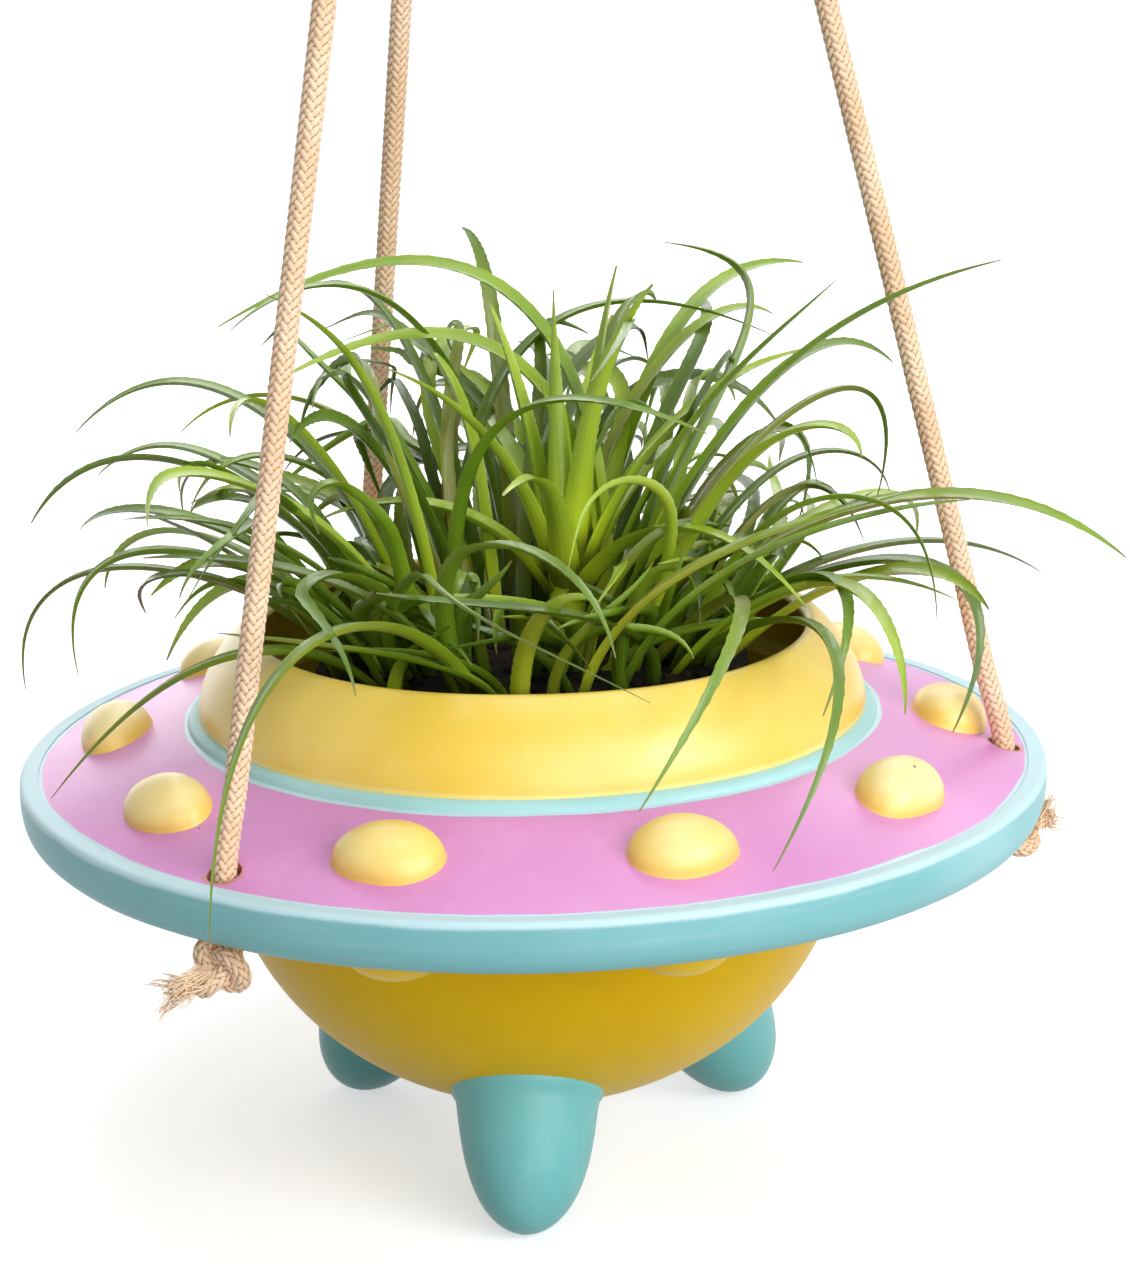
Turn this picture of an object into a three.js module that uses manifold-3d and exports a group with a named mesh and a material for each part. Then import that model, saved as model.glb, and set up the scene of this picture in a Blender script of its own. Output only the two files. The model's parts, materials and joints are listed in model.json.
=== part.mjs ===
// Hanging saucer planter: a painted bowl with a wide brim, button lights above and below the brim,
// three splayed feet, three ropes gathered under a steel ring, and a lift-out tuft of arching leaves.
// Millimetres, +Z up. The origin is the point inside the top of the ring where a hook bears.
import * as THREE from 'three';
import { mergeVertices } from 'three/addons/utils/BufferGeometryUtils.js';
import Module from 'manifold-3d';

const wasm = await Module();
wasm.setup();

// Heights are measured from the outer edge of the brim's sloping top unless a note says otherwise.

// Fits
const glueGap = 0.3; // between pieces that are bonded or rest on each other
const turnSteps = 36; // facets round the large turned shells

// Bowl and its neck, which passes up through the brim
const bowlRadius = 68.6;
const bowlDepth = 63;
const bowlTop = -14;
const bowlWall = 4;

// Brim: sloping top plate, flat flange under the collar, underside plate, rounded edge band
const brimWidth = 32.3; // from the bead round the collar out to the edge band
const slopeRise = 9.3;
const topPlate = 4;
const undersideEdge = -10.6;
const undersideDrop = 4.4;
const undersidePlate = 4;
const bandWidth = 3.5;
const bandLip = 0.3; // the band stands this far above the brim's outer edge

// Collar and the bead round its foot
const collarOutset = 2.9; // collar's foot outside the bowl's neck
const collarLean = 8.7; // lip inside the foot
const collarHeight = 19.6;
const collarWall = 4.2;
const collarBulge = 3.4; // how far the wall swells out from a straight cone
const beadSize = 2.1;

// Button lights, the same pattern above and below the brim
const lightCount = 10;
const lightRadius = 10.8; // along the brim
const lightDepth = 8.2; // from its middle towards the rim
const lightHeight = 6.6;

// Feet
const footCount = 3;
const footTurn = -94; // degrees, the first foot
const footRadius = 15.8;
const footLength = 35.5;
const footSplay = 28; // degrees outward from straight down
const footSeat = 32.6; // degrees up the bowl's curve from its lowest point to the foot's axis
const footSink = 9; // the foot's full width starts this far above the bowl's surface
const footTaper = 0.22;
const footPad = 0.5; // height cut off the round tip to leave a flat pad

// Ropes: one route in a vertical plane, repeated at each hole. Its points are a share of the circle that
// the holes lie on, and a height.
const ropeTurns = [-126, -6, 114]; // degrees
const ropeNames = ['left', 'right', 'back'];
const ropeDiameter = 4.8;
const ropeHoleClearance = 1;
const ropeSides = 7;
const ropeSteps = 23;
const ropeHoleInset = 5.1; // hole centre inside the brim's edge
const ropeRoute = [
  [1, -11.6], [1, -7], [1, -2], [0.997, 3], [0.984, 8.5], [0.965, 15], [0.905, 40],
  [0.832, 70], [0.76, 100], [0.686, 130], [0.613, 160], [0.541, 190], [0.468, 220],
  [0.396, 250], [0.322, 280], [0.249, 310], [0.177, 340], [0.116, 365], [0.083, 378.5],
  [0.07, 384.8], [0.069, 387.7],
];

// Stopper knot under each hole, and its frayed end
const knotLoopRadius = 3.9;
const knotTilt = 42; // degrees, each of the two crossed turns of rope from level
const knotOutset = 2.6; // knot centre outside the hole's axis
const frayLengths = [11.5, 6, 11]; // left, right, back
const frayDips = [6, -26, 18]; // degrees below level
const fraySwings = [0, 45, 0]; // degrees round from straight out
const frayRadius = 5.2;

// Gathering wrap, loops and ring
const wrapTurns = 4;
const wrapRadius = 11;
const wrapGroove = 1.5;
const ringRadius = 25; // to the middle of the wire
const ringWire = 5;
const loopClearance = 0.9; // between loop and ring wire
const loopDrop = 7.5; // wire centre above the wrap

// Leaf tuft and the root ball that it grows from
const plugRadius = 46;
const plugFootRadius = 40;
const plugTopBelowLip = 9.2;
const plugClearance = 0.8; // under the edge of the root ball's foot
const crownInset = 2; // crown inside the root ball's edge
const crownHeight = 5;
const tuftRadius = 100; // leaf lengths below are shares of this
const leafWidth = 5.8;
const leafThickness = 2.2;
const leafTip = 0.6;
const leafRootRise = 1; // leaf roots above the foot of the crown
const leafSteps = 6;
const ropeSway = 11; // degrees that a filling leaf keeps from a rope
const frontTurn = -88; // degrees, the side where the clump is thin
const frontGap = 36; // degrees either way from there without filling leaves
const heartGap = 78; // the same for the heart's own filling leaves
const leafSwirl = 34; // degrees, the most that a filling leaf bends sideways
const tuftLean = 0.07; // filling leaves reach this share further towards +X and less towards -X

// The plant is a clump of five divisions: an upright heart, and four round it named by their side
const heartShare = 0.48; // of the crown's radius
const divisionNames = ['right', 'back', 'left', 'front'];
const divisionTurn = -45; // degrees, where the first outer division starts

// Young shoot in the heart: a stem with leaves that spread round its top
const stemRadius = 4.4;
const stemHeight = 24;
const shootLeaves = 11;
const shootLength = 60;
const shootStart = 20; // degrees, the first leaf
const shootTurn = 137.5; // degrees from one leaf to the next
const shootLean = [8, 72]; // degrees from upright, the first leaf and the last

// Leaves chosen one by one: turn at the root, the root's distance from the axis as a share of the crown's
// radius, then as shares of the tuft's radius the climb and the distance of the arch, the reach of the tip
// and the tip's height above the collar's lip, and last the sideways bend at the tip.
const chosenLeaves = [
  { turn: -110, root: 0.68, climb: 0.4, arch: 1.22, reach: 1.15, tip: -0.36, bend: -12 },
  { turn: -24, root: 0.55, climb: 0.32, arch: 0.92, reach: 0.88, tip: -0.16, bend: -53 },
  { turn: -24, root: 0.64, climb: 0.28, arch: 1.12, reach: 1.08, tip: -0.24, bend: -42 },
  { turn: -14, root: 0.55, climb: 0.36, arch: 1.16, reach: 0.96, tip: -0.14, bend: -14 },
  { turn: -18, root: 0.45, climb: 0.44, arch: 0.98, reach: 1.26, tip: 0.2, bend: 0 },
  { turn: 8, root: 0.68, climb: 0.24, arch: 0.92, reach: 1.15, tip: 0.02, bend: 2 },
  { turn: -18, root: 0.32, climb: 0.7, arch: 0.72, reach: 1.01, tip: 0.8, bend: -4 },
  { turn: -4, root: 0.27, climb: 0.68, arch: 0.74, reach: 0.4, tip: 0.76, bend: 44 },
  { turn: 100, root: 0.32, climb: 0.74, arch: 0.4, reach: 0.44, tip: 0.78, bend: 8 },
  { turn: 52, root: 0.36, climb: 0.7, arch: 0.62, reach: 0.88, tip: 0.66, bend: -8 },
  { turn: 176, root: 0.55, climb: 0.5, arch: 0.9, reach: 1.06, tip: 0.22, bend: 2 },
  { turn: 164, root: 0.45, climb: 0.62, arch: 0.78, reach: 1, tip: 0.38, bend: 4 },
  { turn: -170, root: 0.68, climb: 0.32, arch: 1.12, reach: 1.08, tip: -0.12, bend: -6 },
  { turn: -142, root: 0.82, climb: 0.18, arch: 0.78, reach: 1.06, tip: -0.26, bend: -17 },
  { turn: -160, root: 0.59, climb: 0.4, arch: 1.06, reach: 0.98, tip: -0.02, bend: 0 },
  { turn: -94, root: 0.86, climb: 0.26, arch: 0.58, reach: 0.54, tip: 0.16, bend: 18 },
  { turn: -46, root: 0.77, climb: 0.22, arch: 0.64, reach: 0.7, tip: 0.22, bend: -70 },
  { turn: -16, root: 0.77, climb: 0.32, arch: 0.88, reach: 0.82, tip: -0.06, bend: -30 },
  { turn: -32, root: 0.73, climb: 0.26, arch: 0.76, reach: 0.94, tip: 0.12, bend: 8 },
  { turn: -16, root: 0.23, climb: 0.56, arch: 0.46, reach: 0.66, tip: 0.74, bend: 0 },
  { turn: -150, root: 0.45, climb: 0.64, arch: 0.4, reach: 0.62, tip: 0.76, bend: 6 },
  { turn: -76, root: 0.84, climb: 0.34, arch: 0.7, reach: 0.86, tip: 0.34, bend: 52 },
  { turn: -62, root: 0.8, climb: 0.36, arch: 0.78, reach: 0.94, tip: 0.3, bend: 44 },
  { turn: -112, root: 0.84, climb: 0.3, arch: 0.66, reach: 0.84, tip: 0.22, bend: -47 },
  { turn: -98, root: 0.8, climb: 0.14, arch: 0.62, reach: 0.74, tip: 0.08, bend: -50 },
];

// Leaves that fill the tuft, in rings from the upright heart to the low outer ring
const leafRings = [
  { count: 7, root: 0.14, climb: 0.62, arch: 0.24, reach: 0.34, tip: 0.5, start: 8 },
  { count: 10, root: 0.32, climb: 0.62, arch: 0.52, reach: 0.6, tip: 0.54, start: 22 },
  { count: 12, root: 0.5, climb: 0.52, arch: 0.74, reach: 0.82, tip: 0.34, start: 3 },
  { count: 11, root: 0.68, climb: 0.37, arch: 0.88, reach: 0.96, tip: 0.14, start: 14 },
  { count: 8, root: 0.86, climb: 0.24, arch: 0.8, reach: 0.92, tip: 0.02, start: 31 },
];

const paint = {
  yellow: { color: 0xe8cb4a, roughness: 0.45, metalness: 0 },
  pink: { color: 0xe296d6, roughness: 0.5, metalness: 0 },
  turquoise: { color: 0x74b9bd, roughness: 0.45, metalness: 0 },
  rope: { color: 0xe8c9a4, roughness: 0.9, metalness: 0 },
  steel: { color: 0xb8bbbf, roughness: 0.3, metalness: 1 },
  leaf: { color: 0x6f9a28, roughness: 0.55, metalness: 0 },
  soil: { color: 0x1d1a12, roughness: 0.95, metalness: 0 },
};

const radians = THREE.MathUtils.degToRad;

// Heights and radii that follow from the sizes above
const neckInnerRadius = bowlRadius - bowlWall;
const collarFootRadius = bowlRadius + collarOutset;
const collarLipRadius = collarFootRadius - collarLean;
const slopeInnerRadius = collarFootRadius + glueGap + beadSize;
const brimRadius = slopeInnerRadius + brimWidth;
const slope = slopeRise / brimWidth;
const lightCircle = slopeInnerRadius + 0.5 * brimWidth;
const neckTop = slopeRise - topPlate - glueGap;
const undersideInnerRadius = bowlRadius + glueGap;
const undersideSlope = undersideDrop / (brimRadius - undersideInnerRadius);
const bandInnerRadius = brimRadius + glueGap;
const bandOuterRadius = bandInnerRadius + bandWidth;
const collarFoot = slopeRise + glueGap;
const collarLip = collarFoot + collarHeight;
const ropeRadius = ropeDiameter / 2;
const holeCircle = brimRadius - ropeHoleInset;
const ropeEnd = ropeRoute[ropeRoute.length - 1];
const knotReach = knotLoopRadius + ropeRadius;
const knotDepth = knotLoopRadius * Math.sin(radians(knotTilt)) + ropeRadius + glueGap;
const wrapFoot = ropeEnd[1] + glueGap;
const wrapTop = wrapFoot + wrapTurns * ropeDiameter;
const barHeight = wrapTop + loopDrop;
const ringHeight = barHeight + ringRadius;
const hookHeight = ringHeight + ringRadius - ringWire / 2;
const plugTop = collarLip - plugTopBelowLip;
const crownFoot = plugTop + glueGap;
const crownRadius = plugRadius - crownInset;

// Height of the brim's sloping top, and of its underside, at a distance from the axis
const topAt = (radius) => (brimRadius - radius) * slope;
const undersideAt = (radius) => undersideEdge - (brimRadius - radius) * undersideSlope;

// One closed body facing out: welded, without collapsed triangles, turned right side out
function closed(geometry) {
  geometry.deleteAttribute('normal');
  geometry.deleteAttribute('uv');
  const welded = mergeVertices(geometry, 1e-4);
  const index = welded.index.array;
  const at = (i) => new THREE.Vector3().fromBufferAttribute(welded.attributes.position, i);
  const kept = [];
  let volume = 0;
  for (let i = 0; i < index.length; i += 3) {
    const [a, b, c] = [index[i], index[i + 1], index[i + 2]];
    if (a === b || b === c || c === a) continue;
    kept.push(a, b, c);
    volume += at(a).dot(at(b).cross(at(c)));
  }
  welded.setIndex(volume < 0 ? kept.reverse() : kept);
  return welded;
}

function toSolid(geometry) {
  return new wasm.Manifold(new wasm.Mesh({
    numProp: 3,
    vertProperties: Float32Array.from(geometry.attributes.position.array),
    triVerts: Uint32Array.from(geometry.index.array),
  }));
}

function fromSolid(solid) {
  const mesh = solid.getMesh();
  const geometry = new THREE.BufferGeometry();
  geometry.setAttribute('position', new THREE.BufferAttribute(mesh.vertProperties, 3));
  geometry.setIndex(new THREE.BufferAttribute(mesh.triVerts, 1));
  return geometry;
}

// A profile of radius and height turned about Z; it starts and ends on the axis or closes on itself
function turned(profile, steps = turnSteps) {
  const points = profile.map(([radius, height]) => new THREE.Vector2(radius, height));
  return closed(new THREE.LatheGeometry(points, steps).rotateX(Math.PI / 2));
}

function ring(profile, steps) {
  return turned([...profile, profile[0]], steps);
}

// A round rope of one thickness along a curve
function cordAlong(points, diameter, steps) {
  const section = new THREE.Shape();
  for (let i = 0; i < ropeSides; i += 1) {
    const angle = (2 * Math.PI * i) / ropeSides;
    const corner = [0.5 * diameter * Math.cos(angle), 0.5 * diameter * Math.sin(angle)];
    if (i === 0) section.moveTo(...corner);
    else section.lineTo(...corner);
  }
  const extrudePath = new THREE.CatmullRomCurve3(points);
  return closed(new THREE.ExtrudeGeometry(section, { steps, extrudePath, bevelEnabled: false }));
}

// A point given by its turn about Z, its distance from the axis and its height
function polar(turn, radius, height) {
  return new THREE.Vector3(radius, 0, height).applyAxisAngle(new THREE.Vector3(0, 0, 1), radians(turn));
}

const planter = new THREE.Group();
planter.position.z = -hookHeight;

function add(name, geometry, finish) {
  const mesh = new THREE.Mesh(geometry, new THREE.MeshStandardMaterial(finish));
  mesh.name = name;
  planter.add(mesh);
  return mesh;
}

// Bowl: half an ellipse outside and in, with a straight neck up to the brim's flange
function bowlOutline(grow, steps) {
  const outline = [];
  for (let i = 0; i <= steps; i += 1) {
    const angle = (0.5 * Math.PI * i) / steps;
    outline.push([
      (bowlRadius + grow) * Math.sin(angle),
      bowlTop - (bowlDepth + grow) * Math.cos(angle),
    ]);
  }
  return outline;
}

function bowl() {
  const inside = bowlOutline(-bowlWall, 7).reverse();
  return turned([
    ...bowlOutline(0, 9),
    [bowlRadius, neckTop],
    [neckInnerRadius, neckTop],
    ...inside,
  ]);
}

function drilled(plate) {
  const reach = Math.abs(undersideEdge - undersideDrop) + slopeRise;
  const radius = ropeRadius + ropeHoleClearance;
  let solid = toSolid(plate);
  for (const turn of ropeTurns) {
    const drill = new THREE.CylinderGeometry(radius, radius, 4 * reach, 10).rotateX(Math.PI / 2);
    drill.translate(...polar(turn, holeCircle, 0));
    solid = solid.subtract(toSolid(closed(drill)));
  }
  return fromSolid(solid);
}

function brimTop() {
  return drilled(ring([
    [brimRadius, 0],
    [slopeInnerRadius, slopeRise],
    [neckInnerRadius, slopeRise],
    [neckInnerRadius, slopeRise - topPlate],
    [slopeInnerRadius, slopeRise - topPlate],
    [brimRadius, -topPlate],
  ]));
}

function brimUnderside() {
  return drilled(ring([
    [brimRadius, undersideEdge],
    [undersideInnerRadius, undersideEdge - undersideDrop],
    [undersideInnerRadius, undersideEdge - undersideDrop + undersidePlate],
    [brimRadius, undersideEdge + undersidePlate],
  ]));
}

// Edge band: nearly square at its top corner, rolled under at the bottom
function rimBand() {
  const crown = new THREE.Vector2(bandOuterRadius, bandLip - 0.4 * bandWidth);
  const roll = new THREE.CubicBezierCurve(
    crown,
    new THREE.Vector2(bandOuterRadius, 0.6 * undersideEdge),
    new THREE.Vector2(bandOuterRadius - 0.2 * bandWidth, undersideEdge + 0.5),
    new THREE.Vector2(bandInnerRadius, undersideEdge),
  );
  return ring([
    [bandInnerRadius, bandLip],
    [bandOuterRadius - 0.3 * bandWidth, bandLip],
    ...roll.getPoints(4).map((p) => [p.x, p.y]),
  ]);
}

// Collar: a wall that leans in and swells outward, with a rolled lip
function collar() {
  const middle = 0.5 * (collarFootRadius + collarLipRadius) + collarBulge;
  const lipRoll = 0.3 * collarWall;
  const wall = (inset, top) => new THREE.QuadraticBezierCurve(
    new THREE.Vector2(collarFootRadius - inset, collarFoot),
    new THREE.Vector2(middle - inset, collarFoot + 0.56 * collarHeight),
    new THREE.Vector2(collarLipRadius - inset, top),
  ).getPoints(3).map((p) => [p.x, p.y]);
  return ring([
    ...wall(0, collarLip - lipRoll),
    [collarLipRadius - lipRoll, collarLip],
    [collarLipRadius - collarWall + lipRoll, collarLip],
    ...wall(collarWall, collarLip - lipRoll).reverse(),
  ]);
}

function collarBead() {
  const inner = collarFootRadius + glueGap;
  const arc = [0, 45, 90].map((degrees) => [
    inner + beadSize * Math.cos(radians(degrees)),
    collarFoot + beadSize * Math.sin(radians(degrees)),
  ]);
  return ring([[inner, collarFoot], ...arc]);
}

// Button light: half an ellipsoid with a flat seat, standing on +Z, its short side along X
function light() {
  const outline = [[0, 0]];
  const steps = 3;
  for (let i = 0; i <= steps; i += 1) {
    const angle = (0.5 * Math.PI * i) / steps;
    outline.push([lightRadius * Math.cos(angle), lightHeight * Math.sin(angle)]);
  }
  return turned(outline, 10).scale(lightDepth / lightRadius, 1, 1);
}

function addLights() {
  for (let i = 0; i < lightCount; i += 1) {
    const turn = (360 * i) / lightCount;
    const number = String(i + 1).padStart(2, '0');
    const above = add(`top_light_${number}`, light(), paint.yellow);
    above.position.copy(polar(turn, lightCircle, topAt(lightCircle) + glueGap));
    above.rotation.set(0, Math.atan(slope), radians(turn), 'ZYX');
    const below = add(`under_light_${number}`, light(), paint.yellow);
    below.position.copy(polar(turn, lightCircle, undersideAt(lightCircle) - glueGap));
    below.rotation.set(0, Math.PI - Math.atan(undersideSlope), radians(turn), 'ZYX');
  }
}

// Foot: a blunt bullet leaning outward, cut to seat on the bowl, with a level pad at its tip
function foot(turn) {
  const steps = 6;
  const outline = [[0, footRadius], [footRadius, footRadius]];
  for (let i = 0; i <= steps; i += 1) {
    const s = Math.sin((0.5 * Math.PI * i) / steps);
    outline.push([footRadius * (1 - footTaper * s) * Math.sqrt(1 - s ** 4), -footLength * s]);
  }
  const seatAngle = radians(footSeat);
  const bullet = turned(outline, 14);
  bullet.rotateY(-radians(footSplay));
  bullet.translate(
    bowlRadius * Math.sin(seatAngle),
    0,
    bowlTop - bowlDepth * Math.cos(seatAngle) + footSink,
  );
  bullet.computeBoundingBox();
  const padLevel = bullet.boundingBox.min.z + footPad;
  bullet.rotateZ(radians(turn));
  const seat = turned([...bowlOutline(glueGap, 9), [0, bowlTop]]);
  const below = new THREE.BoxGeometry(4 * bowlRadius, 4 * bowlRadius, footLength);
  below.translate(0, 0, padLevel - 0.5 * footLength);
  return fromSolid(toSolid(bullet).subtract(toSolid(seat)).subtract(toSolid(closed(below))));
}

// Stopper knot: two crossed turns of rope round the end that comes down through the brim
function stopperKnot() {
  let solid = toSolid(closed(
    new THREE.CylinderGeometry(ropeRadius, ropeRadius, knotDepth - glueGap, ropeSides)
      .rotateX(Math.PI / 2)
      .translate(-knotOutset, 0, 0.5 * (knotDepth - glueGap)),
  ));
  for (const tilt of [-knotTilt, knotTilt]) {
    const turnOfRope = new THREE.TorusGeometry(knotLoopRadius, ropeRadius, 6, 8);
    turnOfRope.rotateX(radians(tilt)).rotateZ(radians(tilt));
    solid = solid.add(toSolid(closed(turnOfRope)));
  }
  return fromSolid(solid);
}

// Frayed end: a bundle that opens out from the knot
function fray(length) {
  return turned([
    [0, 0],
    [0.5 * ropeRadius, 0],
    [ropeRadius, 0.25 * length],
    [0.8 * frayRadius, 0.7 * length],
    [frayRadius, length],
    [0, 0.85 * length],
  ], ropeSides);
}

function addRopes() {
  ropeTurns.forEach((turn, i) => {
    const name = ropeNames[i];
    const route = ropeRoute.map(([share, height]) => polar(turn, share * holeCircle, height));
    add(`rope_${name}`, cordAlong(route, ropeDiameter, ropeSteps), paint.rope);
    const knot = add(`stopper_knot_${name}`, stopperKnot(), paint.rope);
    const knotHeight = ropeRoute[0][1] - knotDepth;
    knot.position.copy(polar(turn, holeCircle + knotOutset, knotHeight));
    knot.rotation.z = radians(turn);
    const end = add(`frayed_end_${name}`, fray(frayLengths[i]), paint.rope);
    const dip = radians(frayDips[i]);
    const swing = radians(fraySwings[i]);
    const standOff = glueGap + 0.5 * ropeRadius * (Math.abs(Math.sin(dip)) + Math.abs(Math.sin(swing)));
    end.position.copy(polar(turn, holeCircle + knotOutset + knotReach + standOff, knotHeight));
    end.rotation.set(0, 0.5 * Math.PI + dip, radians(turn) + swing, 'ZYX');
  });
}

// Wrap of rope that binds the ends together: a stack of round turns
function gatherWrap() {
  const outline = [[0, wrapFoot]];
  const stepsPerTurn = 3;
  for (let turnNumber = 0; turnNumber < wrapTurns; turnNumber += 1) {
    for (let i = turnNumber === 0 ? 0 : 1; i <= stepsPerTurn; i += 1) {
      const swell = Math.sin((Math.PI * i) / stepsPerTurn);
      const height = wrapFoot + ropeDiameter * (turnNumber + i / stepsPerTurn);
      outline.push([wrapRadius - wrapGroove * (1 - swell), height]);
    }
  }
  return turned([...outline, [0, wrapTop]], 12);
}

// Each rope's turn over the ring: up from the wrap, over the wire and down again
function ringLoop(offset) {
  const rise = ringRadius - Math.sqrt(ringRadius ** 2 - offset ** 2);
  const bend = 0.5 * ringWire + loopClearance + ropeRadius;
  const foot = wrapTop + glueGap;
  const centre = barHeight + rise;
  const points = [new THREE.Vector3(offset, -bend, foot)];
  for (let degrees = 180; degrees >= 0; degrees -= 30) {
    const angle = radians(degrees);
    points.push(new THREE.Vector3(offset, bend * Math.cos(angle), centre + bend * Math.sin(angle)));
  }
  points.push(new THREE.Vector3(offset, bend, foot));
  return cordAlong(points, ropeDiameter, 11);
}

function addHanger() {
  add('gather_wrap', gatherWrap(), paint.rope);
  [-1, 0, 1].forEach((place, i) => {
    add(`ring_loop_${i + 1}`, ringLoop(place * (ropeDiameter + glueGap)), paint.rope);
  });
  const eye = new THREE.TorusGeometry(ringRadius, 0.5 * ringWire, 8, 22).rotateX(Math.PI / 2);
  add('hanging_ring', closed(eye.translate(0, 0, ringHeight)), paint.steel);
}

// Root ball: tapers a little and stands in the bowl on the edge of its foot
function rootPlug() {
  const inside = bowlRadius - bowlWall;
  const depth = (bowlDepth - bowlWall) * Math.sqrt(1 - (plugFootRadius / inside) ** 2);
  const foot = bowlTop - depth + plugClearance;
  return turned([[0, foot], [plugFootRadius, foot], [plugRadius, plugTop], [0, plugTop]], 24);
}

// Middle line of a leaf: out of the crown, over the top of its arch and down to the tip
function leafLine({ turn, root, climb, arch, reach, tip, bend }) {
  const start = crownFoot + leafRootRise;
  const foot = root * crownRadius;
  const shoulder = foot + 0.4 * (arch * tuftRadius - foot);
  return new THREE.CubicBezierCurve3(
    polar(turn, foot, start),
    polar(turn, shoulder, start + 0.9 * climb * tuftRadius),
    polar(turn + 0.6 * bend, arch * tuftRadius, start + 1.15 * climb * tuftRadius),
    polar(turn + bend, reach * tuftRadius, collarLip + tip * tuftRadius),
  );
}

// Middle line of one of the shoot's leaves, from the stem's top; the outer ones start lower and lean more
function shootLine(i) {
  const share = i / (shootLeaves - 1);
  const turn = shootTurn * i + shootStart;
  const lean = radians(THREE.MathUtils.lerp(...shootLean, share));
  const length = shootLength * (1 - 0.12 * Math.sin(2.3 * i));
  const foot = polar(turn, 0.6 * stemRadius, crownFoot + stemHeight * (1 - 0.4 * share));
  const along = (part, bow, swing = 0) => polar(
    turn + swing,
    part * length * Math.sin(bow * lean),
    part * length * Math.cos(bow * lean),
  ).add(foot);
  return new THREE.CubicBezierCurve3(
    foot,
    along(0.4, 0.45),
    along(0.75, 0.8),
    along(1, 1.15, 14 * Math.sin(4.1 * i)),
  );
}

// Leaf: a three-sided bar bent along its line, flat above with a keel below, drawn out to a fine tip.
// The room round it is the same bar made larger on every side.
function leaf(line, room = 0) {
  const bar = closed(new THREE.CylinderGeometry(1, 1, 1, 3, leafSteps));
  const places = bar.attributes.position;
  for (let i = 0; i < places.count; i += 1) {
    const t = places.getY(i) + 0.5;
    const along = line.getTangent(t);
    const edge = new THREE.Vector3(-along.y, along.x, 0).normalize();
    const keel = new THREE.Vector3().crossVectors(edge, along);
    const taper = 1 - t ** 2.2;
    const width = leafTip + (leafWidth - leafTip) * taper + 4 * room;
    const thickness = leafTip + (leafThickness - leafTip) * taper + 3 * room;
    const place = line.getPoint(t);
    place.addScaledVector(edge, (places.getX(i) * width) / Math.sqrt(3));
    place.addScaledVector(keel, (places.getZ(i) * thickness) / 1.5);
    places.setXYZ(i, place.x, place.y, place.z);
  }
  return closed(bar);
}

// Degrees from one turn to another, the short way round
const apart = (turn, other) => THREE.MathUtils.euclideanModulo(turn - other + 180, 360) - 180;

// Turns a filling leaf aside where it would meet a rope
function clearOfRopes(turn) {
  for (const ropeTurn of ropeTurns) {
    const off = apart(turn, ropeTurn);
    if (Math.abs(off) < ropeSway) return ropeTurn + (off < 0 ? -ropeSway : ropeSway);
  }
  return turn;
}

// Bends a filling leaf the other way where its tip would reach a rope
function clearBend(turn, bend) {
  const meets = ropeTurns.some((ropeTurn) => {
    const before = apart(turn, ropeTurn);
    const after = before + bend;
    return before * after < 0 || Math.abs(after) < ropeSway;
  });
  return meets ? -bend : bend;
}

function leafShapes() {
  const shapes = [...chosenLeaves];
  leafRings.forEach(({ count, root, climb, arch, reach, tip, start }, level) => {
    for (let i = 0; i < count; i += 1) {
      const sway = Math.sin(5.3 * i + 2.1 * level);
      const spread = Math.cos(3.7 * i + 1.3 * level);
      const turn = clearOfRopes(start + (360 * i) / count + 7 * sway);
      const gap = root < heartShare ? heartGap : frontGap;
      if (Math.abs(apart(turn, frontTurn)) < gap) continue;
      const stretch = 1 + 0.1 * sway + tuftLean * Math.cos(radians(turn));
      shapes.push({
        turn,
        root,
        climb: climb * (1 + 0.16 * spread),
        arch: arch * stretch,
        reach: reach * stretch,
        tip: tip + 0.14 * spread,
        bend: clearBend(turn, leafSwirl * Math.cos(2.9 * i + 0.7 * level)),
      });
    }
  });
  return shapes;
}

// Crown of one division: its share of a low dome, from an inner to an outer radius and between two turns
function crownOf({ inner, outer, from, to }) {
  const dome = [[0, crownFoot]];
  for (let i = 0; i <= 2; i += 1) {
    const angle = (0.5 * Math.PI * i) / 2;
    dome.push([crownRadius * Math.cos(angle), crownFoot + crownHeight * Math.sin(angle)]);
  }
  const post = (radius) => toSolid(closed(
    new THREE.CylinderGeometry(radius, radius, 4 * crownHeight, 12)
      .rotateX(Math.PI / 2)
      .translate(0, 0, crownFoot),
  ));
  let solid = toSolid(turned(dome, 16));
  if (outer < crownRadius) return solid.intersect(post(outer));
  solid = solid.subtract(post(inner));
  for (const facing of [polar(from + 90, 1, 0), polar(to - 90, 1, 0)]) {
    solid = solid.trimByPlane([facing.x, facing.y, 0], 0.5 * glueGap);
  }
  return solid;
}

function shootStem() {
  const top = crownFoot + stemHeight;
  return toSolid(turned([[0, crownFoot], [0.8 * stemRadius, crownFoot], [stemRadius, top], [0, top]], 10));
}

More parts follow.
